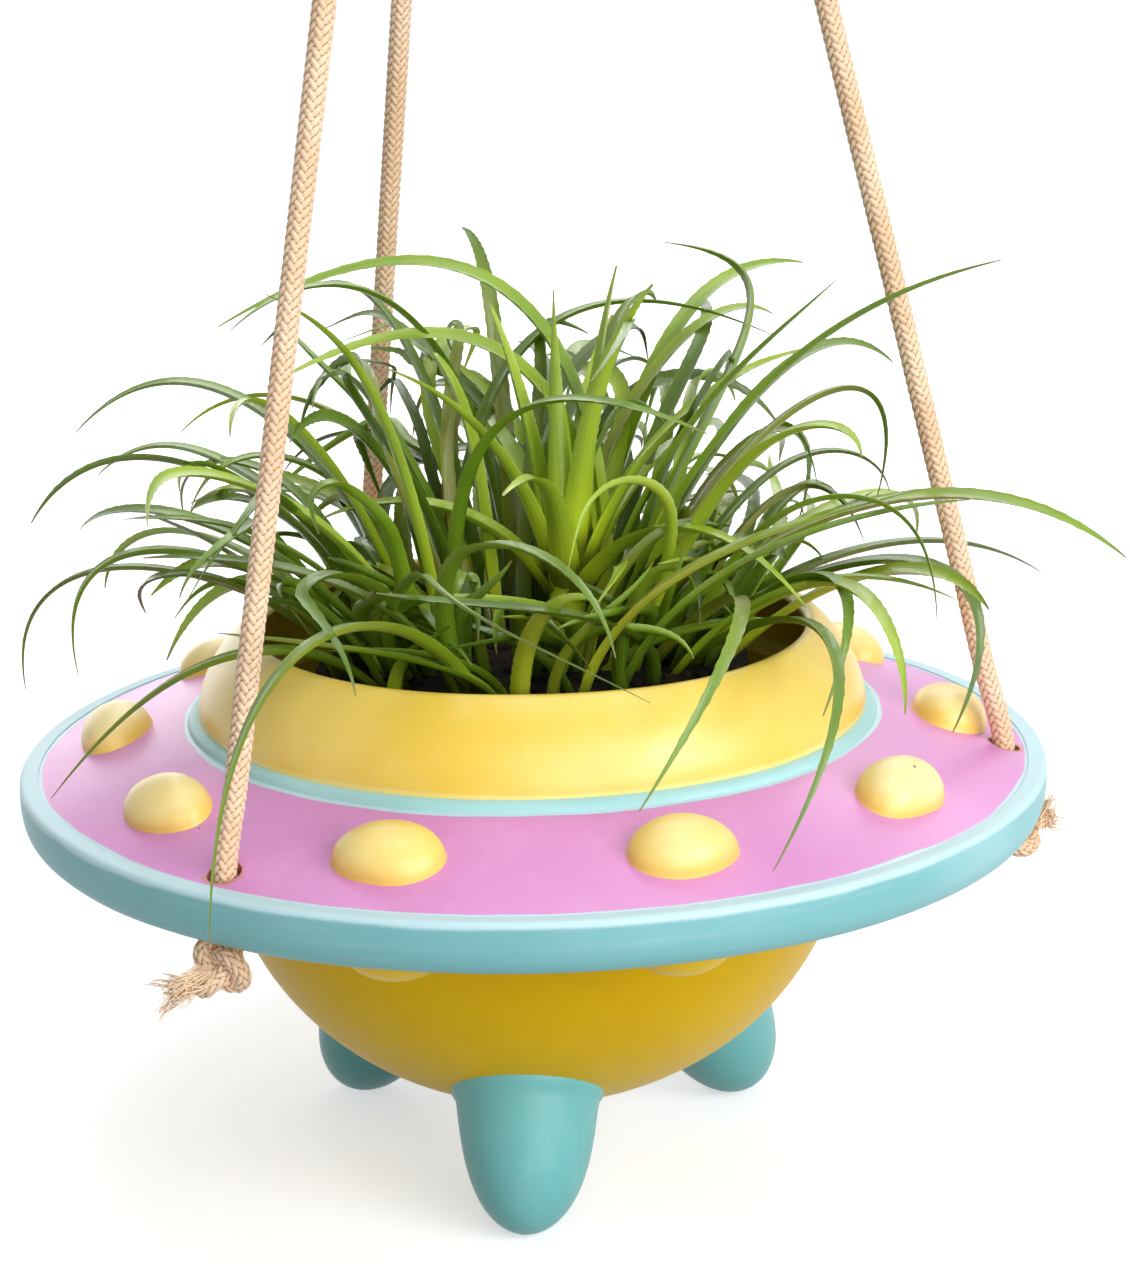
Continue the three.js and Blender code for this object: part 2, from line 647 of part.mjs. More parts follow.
// Divisions of the plant, each a crown with the leaves that grow from it. A later one leaves room for the
// leaves of those before it.
function addFoliage() {
  const shapes = leafShapes();
  const heart = heartShare * crownRadius;
  const share = 360 / divisionNames.length;
  const divisions = [{ name: 'heart', inner: 0, outer: heart - glueGap, from: 0, to: 360 }];
  divisionNames.forEach((name, i) => {
    const from = divisionTurn + share * i;
    divisions.push({ name, inner: heart, outer: crownRadius, from, to: from + share });
  });
  const taken = [];
  for (const division of divisions) {
    const leaves = shapes.filter(({ turn, root }) => {
      const inHeart = root < heartShare;
      const along = THREE.MathUtils.euclideanModulo(turn - division.from, 360);
      return inHeart === (division.inner === 0) && along < division.to - division.from;
    });
    const lines = leaves.map(leafLine);
    const middle = [crownOf(division)];
    if (division.inner === 0) {
      middle.push(shootStem());
      for (let i = 0; i < shootLeaves; i += 1) lines.push(shootLine(i));
    }
    let solid = wasm.Manifold.union([...middle, ...lines.map((line) => toSolid(leaf(line)))]);
    if (taken.length > 0) solid = solid.subtract(wasm.Manifold.union(taken));
    add(`leaves_${division.name}`, fromSolid(solid), paint.leaf);
    taken.push(...middle, ...lines.map((line) => toSolid(leaf(line, glueGap))));
  }
}

add('bowl', bowl(), paint.yellow);
add('brim_top', brimTop(), paint.pink);
add('brim_underside', brimUnderside(), paint.yellow);
add('rim_band', rimBand(), paint.turquoise);
add('collar', collar(), paint.yellow);
add('collar_bead', collarBead(), paint.turquoise);
addLights();
for (let i = 0; i < footCount; i += 1) {
  add(`foot_${i + 1}`, foot(footTurn + (360 * i) / footCount), paint.turquoise);
}
addRopes();
addHanger();
add('root_plug', rootPlug(), paint.soil);
addFoliage();

export default planter;
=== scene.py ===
import json
import math
import random

import bmesh
import bpy
from mathutils import Matrix, Vector, noise
from mathutils.geometry import interpolate_bezier
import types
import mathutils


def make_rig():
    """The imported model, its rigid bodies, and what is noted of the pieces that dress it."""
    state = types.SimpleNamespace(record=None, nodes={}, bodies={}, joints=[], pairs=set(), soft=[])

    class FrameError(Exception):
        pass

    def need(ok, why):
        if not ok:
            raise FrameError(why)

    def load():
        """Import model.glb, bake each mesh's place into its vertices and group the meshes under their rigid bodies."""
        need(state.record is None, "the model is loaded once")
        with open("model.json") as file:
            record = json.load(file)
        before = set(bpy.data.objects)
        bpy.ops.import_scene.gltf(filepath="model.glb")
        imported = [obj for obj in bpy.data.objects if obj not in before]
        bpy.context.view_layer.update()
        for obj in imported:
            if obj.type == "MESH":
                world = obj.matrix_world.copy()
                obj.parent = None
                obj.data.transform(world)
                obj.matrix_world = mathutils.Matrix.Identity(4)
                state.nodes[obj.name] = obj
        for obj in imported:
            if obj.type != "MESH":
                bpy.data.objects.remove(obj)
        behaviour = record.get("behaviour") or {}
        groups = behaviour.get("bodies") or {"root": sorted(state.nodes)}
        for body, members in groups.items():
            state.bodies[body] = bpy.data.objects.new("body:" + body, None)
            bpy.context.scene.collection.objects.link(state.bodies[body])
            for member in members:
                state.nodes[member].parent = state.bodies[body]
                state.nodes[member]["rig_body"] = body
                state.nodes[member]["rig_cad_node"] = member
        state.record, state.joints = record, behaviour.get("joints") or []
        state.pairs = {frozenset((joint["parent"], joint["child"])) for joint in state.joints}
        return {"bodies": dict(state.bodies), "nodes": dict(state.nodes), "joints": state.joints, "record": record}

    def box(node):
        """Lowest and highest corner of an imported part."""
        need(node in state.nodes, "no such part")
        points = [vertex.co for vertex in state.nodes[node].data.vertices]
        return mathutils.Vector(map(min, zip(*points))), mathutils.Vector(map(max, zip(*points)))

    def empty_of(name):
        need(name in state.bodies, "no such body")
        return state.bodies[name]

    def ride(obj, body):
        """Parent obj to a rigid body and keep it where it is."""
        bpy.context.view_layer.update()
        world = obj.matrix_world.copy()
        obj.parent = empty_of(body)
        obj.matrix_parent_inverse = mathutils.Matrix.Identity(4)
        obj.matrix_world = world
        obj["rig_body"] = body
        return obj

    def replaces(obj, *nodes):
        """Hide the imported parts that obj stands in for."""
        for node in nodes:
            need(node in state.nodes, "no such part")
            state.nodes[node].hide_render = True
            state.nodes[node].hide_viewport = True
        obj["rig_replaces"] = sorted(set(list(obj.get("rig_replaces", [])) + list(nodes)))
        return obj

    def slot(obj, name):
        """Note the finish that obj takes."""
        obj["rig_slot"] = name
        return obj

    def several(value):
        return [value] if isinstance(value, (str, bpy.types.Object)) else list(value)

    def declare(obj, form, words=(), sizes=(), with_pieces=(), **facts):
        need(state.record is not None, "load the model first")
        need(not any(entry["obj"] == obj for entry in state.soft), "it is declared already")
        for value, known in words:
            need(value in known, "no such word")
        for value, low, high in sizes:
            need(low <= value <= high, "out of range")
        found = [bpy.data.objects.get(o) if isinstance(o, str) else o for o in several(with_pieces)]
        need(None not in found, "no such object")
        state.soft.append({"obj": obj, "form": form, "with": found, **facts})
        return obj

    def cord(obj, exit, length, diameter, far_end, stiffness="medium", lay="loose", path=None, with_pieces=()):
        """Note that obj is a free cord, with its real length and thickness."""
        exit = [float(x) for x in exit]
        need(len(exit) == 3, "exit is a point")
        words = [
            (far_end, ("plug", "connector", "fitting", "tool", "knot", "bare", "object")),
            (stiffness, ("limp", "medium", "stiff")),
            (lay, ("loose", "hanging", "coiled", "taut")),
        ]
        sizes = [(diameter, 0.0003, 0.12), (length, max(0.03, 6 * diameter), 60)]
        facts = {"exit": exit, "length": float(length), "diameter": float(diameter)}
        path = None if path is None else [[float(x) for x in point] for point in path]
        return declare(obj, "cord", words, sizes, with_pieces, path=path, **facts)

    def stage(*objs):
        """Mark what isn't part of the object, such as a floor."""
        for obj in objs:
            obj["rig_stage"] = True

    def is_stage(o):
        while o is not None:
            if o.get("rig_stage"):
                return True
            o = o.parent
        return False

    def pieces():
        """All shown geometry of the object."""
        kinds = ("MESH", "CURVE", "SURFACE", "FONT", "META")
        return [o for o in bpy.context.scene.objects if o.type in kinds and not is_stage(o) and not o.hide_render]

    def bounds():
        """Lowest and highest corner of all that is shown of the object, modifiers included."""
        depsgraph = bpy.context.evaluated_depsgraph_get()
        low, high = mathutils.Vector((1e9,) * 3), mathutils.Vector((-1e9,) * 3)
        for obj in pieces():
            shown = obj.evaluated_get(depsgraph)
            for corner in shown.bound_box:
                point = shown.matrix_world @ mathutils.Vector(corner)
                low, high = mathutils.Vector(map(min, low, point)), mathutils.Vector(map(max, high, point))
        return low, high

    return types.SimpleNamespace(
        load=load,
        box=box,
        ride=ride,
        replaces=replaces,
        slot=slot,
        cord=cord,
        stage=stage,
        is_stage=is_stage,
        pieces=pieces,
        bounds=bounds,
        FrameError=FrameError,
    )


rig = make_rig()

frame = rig.load()
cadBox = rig.bounds()
mm = 0.001
tau = 2 * math.pi

# Heights below are measured from the brim's outer top edge, which lies at edgeLevel in the frame.
slopeRise = 9.3 * mm
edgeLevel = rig.box("brim_top")[1].z - slopeRise
print("frame loaded, brim edge at", round(edgeLevel, 4))


def shade(red, green, blue):  # a screen colour, 0 to 255, as linear values
    parts = [c / 255 for c in (red, green, blue)]
    return [((c + 0.055) / 1.055) ** 2.4 if c > 0.04 else c / 12.92 for c in parts] + [1]


class Value:  # a socket that takes part in sums: each operator adds one Math node
    def __init__(self, owner, socket):
        self.owner = owner
        self.socket = socket

    def sum(self, operation, first, second):
        return self.owner.add("ShaderNodeMath", {"operation": operation}, {0: first, 1: second})

    def __add__(self, other):
        return self.sum("ADD", self, other)

    def __radd__(self, other):
        return self.sum("ADD", other, self)

    def __sub__(self, other):
        return self.sum("SUBTRACT", self, other)

    def __rsub__(self, other):
        return self.sum("SUBTRACT", other, self)

    def __mul__(self, other):
        return self.sum("MULTIPLY", self, other)

    def __rmul__(self, other):
        return self.sum("MULTIPLY", other, self)

    def __pow__(self, other):
        return self.sum("POWER", self, other)

    def __lt__(self, other):
        return self.sum("LESS_THAN", self, other)

    def __gt__(self, other):
        return self.sum("GREATER_THAN", self, other)


class Nodes:  # a node tree, and the one way in which nodes are added to it
    def __init__(self, tree):
        self.tree = tree

    def add(self, kind, settings=None, sockets=None, out=0):
        node = self.tree.nodes.new(kind)
        for key, value in (settings or {}).items():
            setattr(node, key, value)
        for key, value in (sockets or {}).items():
            self.feed(node.inputs[key], value)
        return Value(self, node.outputs[out])

    def feed(self, socket, value):
        if isinstance(value, Value):
            self.tree.links.new(value.socket, socket)
        else:
            socket.default_value = value

    def mixShaders(self, factor, first, second):
        return self.add("ShaderNodeMixShader", sockets={0: factor, 1: first, 2: second})

    def looking(self):  # 1 for what the camera sees, straight or in gloss or glass
        kinds = ("Is Camera Ray", "Is Glossy Ray", "Is Transmission Ray")
        straight, gloss, glass = (self.add("ShaderNodeLightPath", out=kind) for kind in kinds)
        return straight + gloss + glass


class Finish(Nodes):  # one material: a Principled shader and the nodes that feed it
    def __init__(self, name, colour=None, **fixed):
        self.material = bpy.data.materials.new(name)
        self.material.use_nodes = True
        super().__init__(self.material.node_tree)
        self.shader = self.tree.nodes["Principled BSDF"]
        self.colour = colour
        self.at = self.add("ShaderNodeTexCoord", out="Object")
        self.fit(**fixed)

    def fit(self, **sockets):
        for socket, value in sockets.items():
            self.feed(self.shader.inputs[socket.replace("_", " ")], value)

    def axis(self, letter, vector=None):
        return self.add("ShaderNodeSeparateXYZ", sockets={0: vector or self.at}, out=letter)

    def fromAxis(self):
        x, y = self.axis("X"), self.axis("Y")
        return (x * x + y * y) ** 0.5

    def stretch(self, scale, location=(0, 0, 0)):
        return self.add("ShaderNodeMapping", sockets={0: self.at, "Scale": scale, "Location": location})

    def noise(self, scale, detail=2.0, rough=0.5, vector=None):
        sockets = {"Vector": vector or self.at, "Scale": scale, "Detail": detail, "Roughness": rough}
        return self.add("ShaderNodeTexNoise", sockets=sockets)

    def uneven(self, size, *look):  # noise about zero
        return (self.noise(*look) - 0.5) * size

    def ramp(self, value, low, high):  # 0 at low, 1 at high, smooth between
        sockets = {"Value": value, "From Min": low, "From Max": high}
        return self.add("ShaderNodeMapRange", {"interpolation_type": "SMOOTHSTEP"}, sockets)

    def attribute(self, name):
        return self.add("ShaderNodeAttribute", {"attribute_name": name}, out="Fac")

    def over(self, factor, colour):  # lays a colour over the one so far
        sockets = {0: factor, 6: self.colour, 7: colour}
        self.colour = self.add("ShaderNodeMix", {"data_type": "RGBA"}, sockets, out=2)

    def bump(self, height, distance, strength=1.0):
        sockets = {"Height": height, "Distance": distance, "Strength": strength}
        self.fit(Normal=self.add("ShaderNodeBump", sockets=sockets))

    def done(self, **sockets):
        self.fit(Base_Color=self.colour, **sockets)
        return self.material


def linked(name, data):  # a new object in the scene
    made = bpy.data.objects.new(name, data)
    bpy.context.collection.objects.link(made)
    return made


def turning(angle, axis):
    return Matrix.Rotation(math.radians(angle), 4, axis)


# Camera, as fitted to the photograph

cameraView = dict(
    distance=667.3 * mm,  # from the middle of the brim
    elevation=17.19,
    pitch=15.22,
    yaw=0.65,
    roll=-1.07,
    focalPixels=3077,
    imageHeight=1280,
    filmHeight=36.0,
)


def makeCamera():
    view = cameraView
    up = math.radians(view["elevation"])
    eye = Vector((0, -math.cos(up), math.sin(up))) * view["distance"] + Vector((0, 0, edgeLevel))
    aim = turning(-view["yaw"], "Z") @ turning(90 - view["pitch"], "X") @ turning(view["roll"], "Z")
    data = bpy.data.cameras.new("camera")
    data.sensor_fit = "VERTICAL"
    data.sensor_height = view["filmHeight"]
    data.lens = view["focalPixels"] * view["filmHeight"] / view["imageHeight"]
    data.clip_start = 0.01
    camera = linked("camera", data)
    camera.matrix_world = Matrix.Translation(eye) @ aim
    bpy.context.scene.camera = camera


makeCamera()
print("camera placed")


# Helpers for meshes

def smooth(t):  # 0 to 1 with a soft start and end
    return t * t * (3 - 2 * t)


def polar(turn, radius, height):
    angle = math.radians(turn)
    return Vector((radius * math.cos(angle), radius * math.sin(angle), height))


def spun(bm, axis, steps):  # all of a bmesh spun a full turn, with its seam joined
    bmesh.ops.spin(bm, geom=bm.verts[:] + bm.edges[:], cent=(0, 0, 0), axis=axis, angle=tau,
                   steps=steps, use_merge=True)
    bmesh.ops.remove_doubles(bm, verts=bm.verts, dist=1e-7)
    bmesh.ops.recalc_face_normals(bm, faces=bm.faces)
    return bm


def turned(profile, steps, closed=False):  # a profile of radius and height, spun about Z
    bm = bmesh.new()
    points = [bm.verts.new((radius, 0, height)) for radius, height in profile]
    for pair in zip(points, points[1:] + points[:1] if closed else points[1:]):
        bm.edges.new(pair)
    return spun(bm, (0, 0, 1), steps)


def arc(centre, radii, start, end, steps):  # part of an ellipse, angles in degrees
    points = []
    for i in range(steps + 1):
        angle = math.radians(start + (end - start) * i / steps)
        points.append((centre[0] + radii[0] * math.cos(angle), centre[1] + radii[1] * math.sin(angle)))
    return points


def bezier(start, first, second, end, steps):
    points = interpolate_bezier(Vector(start), Vector(first), Vector(second), Vector(end), steps)
    return [tuple(point) for point in points]


castWobble = dict(size=0.3 * mm, scale=26.0, seed=8)  # slow unevenness of the cast and painted shells
noise.seed_set(castWobble["seed"])


def roughen(verts, scale, size, shift=Vector()):  # moves vertices by smooth noise
    for vert in verts:
        vert.co += noise.noise_vector(vert.co * scale + shift) * size


def objectFrom(name, bm, material=None):
    mesh = bpy.data.meshes.new(name)
    bm.to_mesh(mesh)
    bm.free()
    if material:
        mesh.materials.append(material)
    return linked(name, mesh)


def evaluatedInto(bm, item):  # adds an object's final mesh to a bmesh, and removes the object
    graph = bpy.context.evaluated_depsgraph_get()
    bm.from_mesh(bpy.data.meshes.new_from_object(item.evaluated_get(graph)))
    bpy.data.objects.remove(item)
    return bm


def settle(name, bm, material, slot, node, body="planter", sharp=40):  # makes a finished piece
    bmesh.ops.translate(bm, vec=(0, 0, edgeLevel), verts=bm.verts)
    piece = objectFrom(name, bm, material)
    piece.data.polygons.foreach_set("use_smooth", [True] * len(piece.data.polygons))
    piece.data.set_sharp_from_angle(angle=math.radians(sharp))
    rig.ride(piece, body)
    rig.slot(piece, slot)
    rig.replaces(piece, node)
    return piece


def cast(name, bm, material, slot, node, sharp=40):  # makes a piece of the painted casting
    roughen(bm.verts, castWobble["scale"], castWobble["size"])
    settle(name, bm, material, slot, node, sharp=sharp)


def cutWith(bm, cutter):  # takes the cutter's volume out of a closed mesh, and gives a new bmesh
    stock, tool = objectFrom("stock", bm), objectFrom("cutter", cutter)
    modifier = stock.modifiers.new("cut", "BOOLEAN")
    modifier.object = tool
    modifier.operation = "DIFFERENCE"
    modifier.solver = "EXACT"
    made = evaluatedInto(bmesh.new(), stock)
    bpy.data.objects.remove(tool)
    return made


# Ropes: braided cotton, at the same turns and along the same route as the solids

rope = dict(
    turns=(-126, -6, 114),
    names=("left", "right", "back"),
    diameter=4.8 * mm,
    holeCircle=101.1 * mm,
    holeRadius=3.4 * mm,
    length=0.414,
    route=(
        (1, -11.6), (1, -7), (1, -2), (0.997, 3), (0.984, 8.5), (0.965, 15), (0.905, 40),
        (0.832, 70), (0.76, 100), (0.686, 130), (0.613, 160), (0.541, 190), (0.468, 220),
        (0.396, 250), (0.322, 280), (0.249, 310), (0.177, 340), (0.116, 365), (0.083, 378.5),
        (0.07, 384.8), (0.069, 387.7),
    ),
    strands=8,  # each way round
    lift=1.9 * mm,  # rope length in which a strand moves on by its own width
    relief=0.42 * mm,
    sides=40,
    step=0.26 * mm,
)


def smoothPath(points, step):  # one smooth line through chosen points
    points = [Vector(point) for point in points]
    spans = [(b - a).length for a, b in zip(points, points[1:])]
    slopes = [(b - a) / span for a, b, span in zip(points, points[1:], spans)]
    leads = [slopes[0]]
    for i in range(1, len(slopes)):
        leads.append((slopes[i - 1] * spans[i] + slopes[i] * spans[i - 1]) / (spans[i - 1] + spans[i]))
    leads.append(slopes[-1])
    line = [points[0]]
    for i, span in enumerate(spans):
        first = points[i] + leads[i] * span / 3
        second = points[i + 1] - leads[i + 1] * span / 3
        count = max(2, round(span / step) + 1)
        line += interpolate_bezier(points[i], first, second, points[i + 1], count)[1:]
    return line


def carried(line, side=None):  # each point of a line with two directions across it that don't twist
    side = side or (line[1] - line[0]).orthogonal().normalized()
    places = []
    for i, point in enumerate(line):
        along = (line[min(i + 1, len(line) - 1)] - line[max(i - 1, 0)]).normalized()
        side = (side - along * side.dot(along)).normalized()
        places.append((point, side, along.cross(side)))
    return places


def plait(turn, along):  # relief of a braid whose strands pass over two and under two, 0 to 1
    a = rope["strands"] * turn + along / rope["lift"]
    b = rope["strands"] * turn - along / rope["lift"]
    phase = (math.floor(a) + math.floor(b)) % 4
    across, run = (a % 1, (phase + b % 1) / 2) if phase < 2 else (b % 1, (phase - 2 + a % 1) / 2)
    return (1 - (2 * across - 1) ** 2) * (1 - 0.75 * (2 * run - 1) ** 4)


def tubeInto(bm, rows, sides):  # vertices for a tube, each with its row and its turn, joined when placed
    made = bmesh.ops.create_grid(bm, x_segments=sides, y_segments=rows, size=0.5)["verts"]
    for vert in made:
        yield vert, round((vert.co.y + 0.5) * rows), vert.co.x + 0.5
    bmesh.ops.remove_doubles(bm, verts=made, dist=1e-6)


def braidInto(bm, line, diameter, sides):  # adds a braided rope along a line to a bmesh
    layer = bm.verts.layers.float.get("ply") or bm.verts.layers.float.new("ply")
    places = carried(line)
    lengths = [0.0]
    for a, b in zip(line, line[1:]):
        lengths.append(lengths[-1] + (b - a).length)
    for vert, row, turn in tubeInto(bm, len(line) - 1, sides):
        point, side, over = places[row]
        ply = plait(turn % 1, lengths[row])
        radius = diameter / 2 - rope["relief"] * (1 - ply)
        vert[layer] = ply
        vert.co = point + (side * math.cos(tau * turn) + over * math.sin(tau * turn)) * radius


def closeEnds(bm):
    bmesh.ops.holes_fill(bm, edges=[edge for edge in bm.edges if edge.is_boundary], sides=0)
    bmesh.ops.recalc_face_normals(bm, faces=bm.faces)


cottonLook = dict(
    top=shade(250, 224, 194),
    side=shade(236, 201, 166),
    # gap: painted shade for the crevices between strands
    gap=shade(168, 124, 86),
    fibre=1500.0,
    patch=60.0,
)


def cotton():
    finish = Finish("cotton", cottonLook["side"], Sheen_Weight=0.25, Specular_IOR_Level=0.2, Roughness=0.9)
    fibre = finish.noise(cottonLook["fibre"], 3.0, 0.6)
    finish.over(finish.ramp(finish.noise(cottonLook["patch"]), 0.35, 0.7), cottonLook["top"])
    finish.over(finish.ramp(fibre, 0.3, 0.75) * 0.5, cottonLook["side"])
    # painted shade: darker where the braid's relief is low, between strands
    finish.over(finish.ramp(finish.attribute("ply"), 0.5, 0.08), cottonLook["gap"])
    finish.bump(fibre, 0.25 * mm, 0.6)
    return finish.done()


cottonMaterial = cotton()


def ropePiece(name, node, lines, sides):  # braided ropes in one piece, each line with its diameter
    bm = bmesh.new()
    for line, diameter in lines:
        braidInto(bm, line, diameter, sides)
    closeEnds(bm)
    return settle(name, bm, cottonMaterial, "cotton_rope", node, sharp=180)


def ropeRoute(turn):
    return [polar(turn, share * rope["holeCircle"], height * mm) for share, height in rope["route"]]


def makeRopes():  # each rope with its path in the frame
    ropes = []
    lift = Vector((0, 0, edgeLevel))
    for name, turn in zip(rope["names"], rope["turns"]):
        line = smoothPath(ropeRoute(turn), rope["step"])
        piece = ropePiece(f"braided_rope_{name}", f"rope_{name}", [(line, rope["diameter"])], rope["sides"])
        ropes.append((piece, [point + lift for point in [*line[::8], line[-1]]]))
    return ropes


ropes = makeRopes()
print("ropes braided")


# Stopper knots under the brim, and their frayed ends

knot = dict(
    size=1.75 * mm,  # one unit of the knot's curve
    deep=1.15,
    strand=3.9 * mm,
    outset=2.6 * mm,
    below=16.9 * mm,
    drop=2.0 * mm,  # straight length between the rope and the knot
    sides=44,
    steps=560,
    tilt=62,
    roll=60,
)
frayed = dict(
    lengths=(12.0 * mm, 6.6 * mm, 11.5 * mm),
    dips=(6, -26, 18),
    swings=(0, 45, 0),
    threads=170,
    locks=15,
    own=0.3,  # how far a thread leaves its lock
    spread=4.4 * mm,
    thread=0.17 * mm,
    curl=2.4 * mm,
    reach=3.9 * mm,  # from the knot's middle to where the threads start
    steps=12,
    bundle=0.45,  # of the rope's diameter, as the threads leave the knot
    shortest=0.55,
    seed=7,
)


def knotLine(middle, turn):  # a drawn-up overhand knot, as a closed curve of three crossings
    points = []
    spin = turning(turn, "Z") @ turning(knot["tilt"], "Y") @ turning(knot["roll"], "Z")
    for i in range(knot["steps"] + 1):
        t = tau * i / knot["steps"]
        x, y = math.sin(t) + 2 * math.sin(2 * t), math.cos(t) - 2 * math.cos(2 * t)
        curl = Vector((x, y, -knot["deep"] * math.sin(3 * t)))
        points.append(middle + spin @ (curl * knot["size"]))
    return points


def makeKnots():
    top = rope["route"][0][1] * mm
    for name, turn in zip(rope["names"], rope["turns"]):
        middle = polar(turn, rope["holeCircle"] + knot["outset"], -knot["below"])
        tail = [polar(turn, rope["holeCircle"], level) for level in (top, top - knot["drop"])] + [middle]
        lines = [(knotLine(middle, turn), knot["strand"]), (smoothPath(tail, rope["step"]), rope["diameter"])]
        ropePiece(f"knot_{name}", f"stopper_knot_{name}", lines, knot["sides"])


def threadWay(rng, across, over):  # where a thread or a lock of threads drifts, bends and waves to
    angle = rng.uniform(0, tau)
    drift = (across * math.cos(angle) + over * math.sin(angle)) * math.sqrt(rng.random())
    bend, wave = (Vector([rng.uniform(-1, 1) for _ in range(3)]) * frayed["curl"] for _ in range(2))
    return drift, bend, wave


def threadLine(rng, start, outward, across, over, lock, longest):
    line = []
    own = frayed["own"]
    drift, bend, wave = (a * (1 - own) + b * own for a, b in zip(lock, threadWay(rng, across, over)))
    length = longest * rng.uniform(frayed["shortest"], 1.0)
    bundle = frayed["bundle"] * rope["diameter"]
    for i in range(frayed["steps"]):
        t = i / (frayed["steps"] - 1)
        fan = bundle * (1 - t) + frayed["spread"] * t ** 1.4
        curl = bend * math.sin(math.pi * 1.5 * t) + wave * 0.5 * math.sin(math.pi * 3.5 * t)
        line.append(start + outward * length * t + drift * fan + curl * t)
    return line


def threadsInto(bm, lines, thick):  # adds thin round threads, thinner towards their ends
    curve = bpy.data.curves.new("threads", "CURVE")
    curve.dimensions = "3D"
    curve.bevel_depth = thick
    curve.bevel_resolution = 0
    curve.use_fill_caps = True
    for line in lines:
        spline = curve.splines.new("POLY")
        spline.points.add(len(line) - 1)
        for i, (point, place) in enumerate(zip(spline.points, line)):
            point.co = (*place, 1)
            point.radius = 1 - 0.35 * i / len(line)
    evaluatedInto(bm, linked("threads", curve))


def makeFrays():
    rng = random.Random(frayed["seed"])
    ends = zip(rope["names"], rope["turns"], frayed["lengths"], frayed["dips"], frayed["swings"])
    for name, turn, longest, dip, swing in ends:
        start = polar(turn, rope["holeCircle"] + knot["outset"] + frayed["reach"], -knot["below"])
        outward = polar(turn + swing, math.cos(math.radians(dip)), -math.sin(math.radians(dip)))
        across = outward.orthogonal().normalized()
        over = outward.cross(across)
        bm = bmesh.new()
        locks = [threadWay(rng, across, over) for _ in range(frayed["locks"])]
        lines = [threadLine(rng, start, outward, across, over, rng.choice(locks), longest)
                 for _ in range(frayed["threads"])]
        threadsInto(bm, lines, frayed["thread"])
        layer = bm.verts.layers.float.new("ply")
        for vert in bm.verts:
            vert[layer] = rng.uniform(0.5, 1.0)
        settle(f"fray_{name}", bm, cottonMaterial, "cotton_rope", f"frayed_end_{name}", sharp=180)


makeKnots()
makeFrays()
print("knots tied")


# Hanger above the photograph: wrap, loops and steel ring

hanger = dict(
    wrapFoot=388.0 * mm,
    wrapTurns=4,
    wrapSteps=900,
    wrapRadius=8.6 * mm,
    tuckRadius=2.8 * mm,  # the wrap's two ends go in among the ropes
    tuckShare=0.08,
    tuckDepth=2.0 * mm,
    coreRadius=4.3 * mm,
    coreRopes=6,
    ringRadius=25.0 * mm,
    wire=5.0 * mm,
    loopBend=5.8 * mm,
    loopDrop=7.5 * mm,
    loopSpacing=5.1 * mm,
    legTop=0.2 * mm,  # the loops' legs, above the wrap and inside it
    legDepth=3.5 * mm,
    legShare=0.62,
    sides=28,
)
wrapTop = hanger["wrapFoot"] + hanger["wrapTurns"] * rope["diameter"]
barHeight = wrapTop + hanger["loopDrop"]


def makeWrap():
    line = []
    for i in range(hanger["wrapSteps"] + 1):
        share = i / hanger["wrapSteps"]
        turns = (hanger["wrapTurns"] - 1) * share
        tuck = smooth(max(0, 1 - min(share, 1 - share) / hanger["tuckShare"]))
        height = hanger["wrapFoot"] + rope["diameter"] * (0.5 + turns)
        height += math.copysign(tuck * hanger["tuckDepth"], 0.5 - share)
        radius = hanger["wrapRadius"] + (hanger["tuckRadius"] - hanger["wrapRadius"]) * tuck
        line.append(polar(360 * turns, radius, height))
    lines = [(line, rope["diameter"])]
    heights = (hanger["wrapFoot"], wrapTop - hanger["tuckDepth"])
    for i in range(hanger["coreRopes"]):
        ends = [polar(360 * i / hanger["coreRopes"], hanger["coreRadius"], z) for z in heights]
        lines.append((smoothPath(ends, rope["step"]), rope["diameter"]))
    return ropePiece("rope_wrap", "gather_wrap", lines, hanger["sides"])


def makeLoops():
    loops = []
    for i, place in enumerate((-1, 0, 1)):
        x = place * hanger["loopSpacing"]
        rise = hanger["ringRadius"] - math.sqrt(hanger["ringRadius"] ** 2 - x ** 2)
        bend, low = hanger["loopBend"], hanger["legShare"]
        legs = [(x, bend, wrapTop + hanger["legTop"]), (low * x, low * bend, wrapTop - hanger["legDepth"])]
        points = [(x, y, z) for y, z in arc((0, barHeight + rise), (bend, bend), 180, 0, 12)]
        points = [(across, -y, z) for across, y, z in reversed(legs)] + points + legs
        lines = [(smoothPath(points, rope["step"]), rope["diameter"])]
        loops.append(ropePiece(f"loop_{i + 1}", f"ring_loop_{i + 1}", lines, hanger["sides"]))
    return loops


steelLook = dict(bright=shade(206, 208, 212), dull=shade(150, 153, 158))


def steel():
    finish = Finish("steel", steelLook["dull"], Metallic=1.0)
    drawn = finish.noise(240.0, 4.0, 0.65, finish.stretch((1, 6, 1)))
    finish.over(finish.ramp(drawn, 0.3, 0.7), steelLook["bright"])
    finish.bump(drawn, 0.05 * mm, 0.4)
    return finish.done(Roughness=0.22 + drawn * 0.18)


def makeRing():
    bm = bmesh.new()
    wire = bmesh.ops.create_circle(bm, segments=24, radius=hanger["wire"] / 2)["verts"]
    bmesh.ops.translate(bm, verts=wire, vec=(hanger["ringRadius"], 0, 0))
    spun(bm, (0, 1, 0), 96)
    bmesh.ops.translate(bm, verts=bm.verts, vec=(0, 0, barHeight + hanger["ringRadius"]))
    return settle("steel_ring", bm, steel(), "steel", "hanging_ring", "hanger")


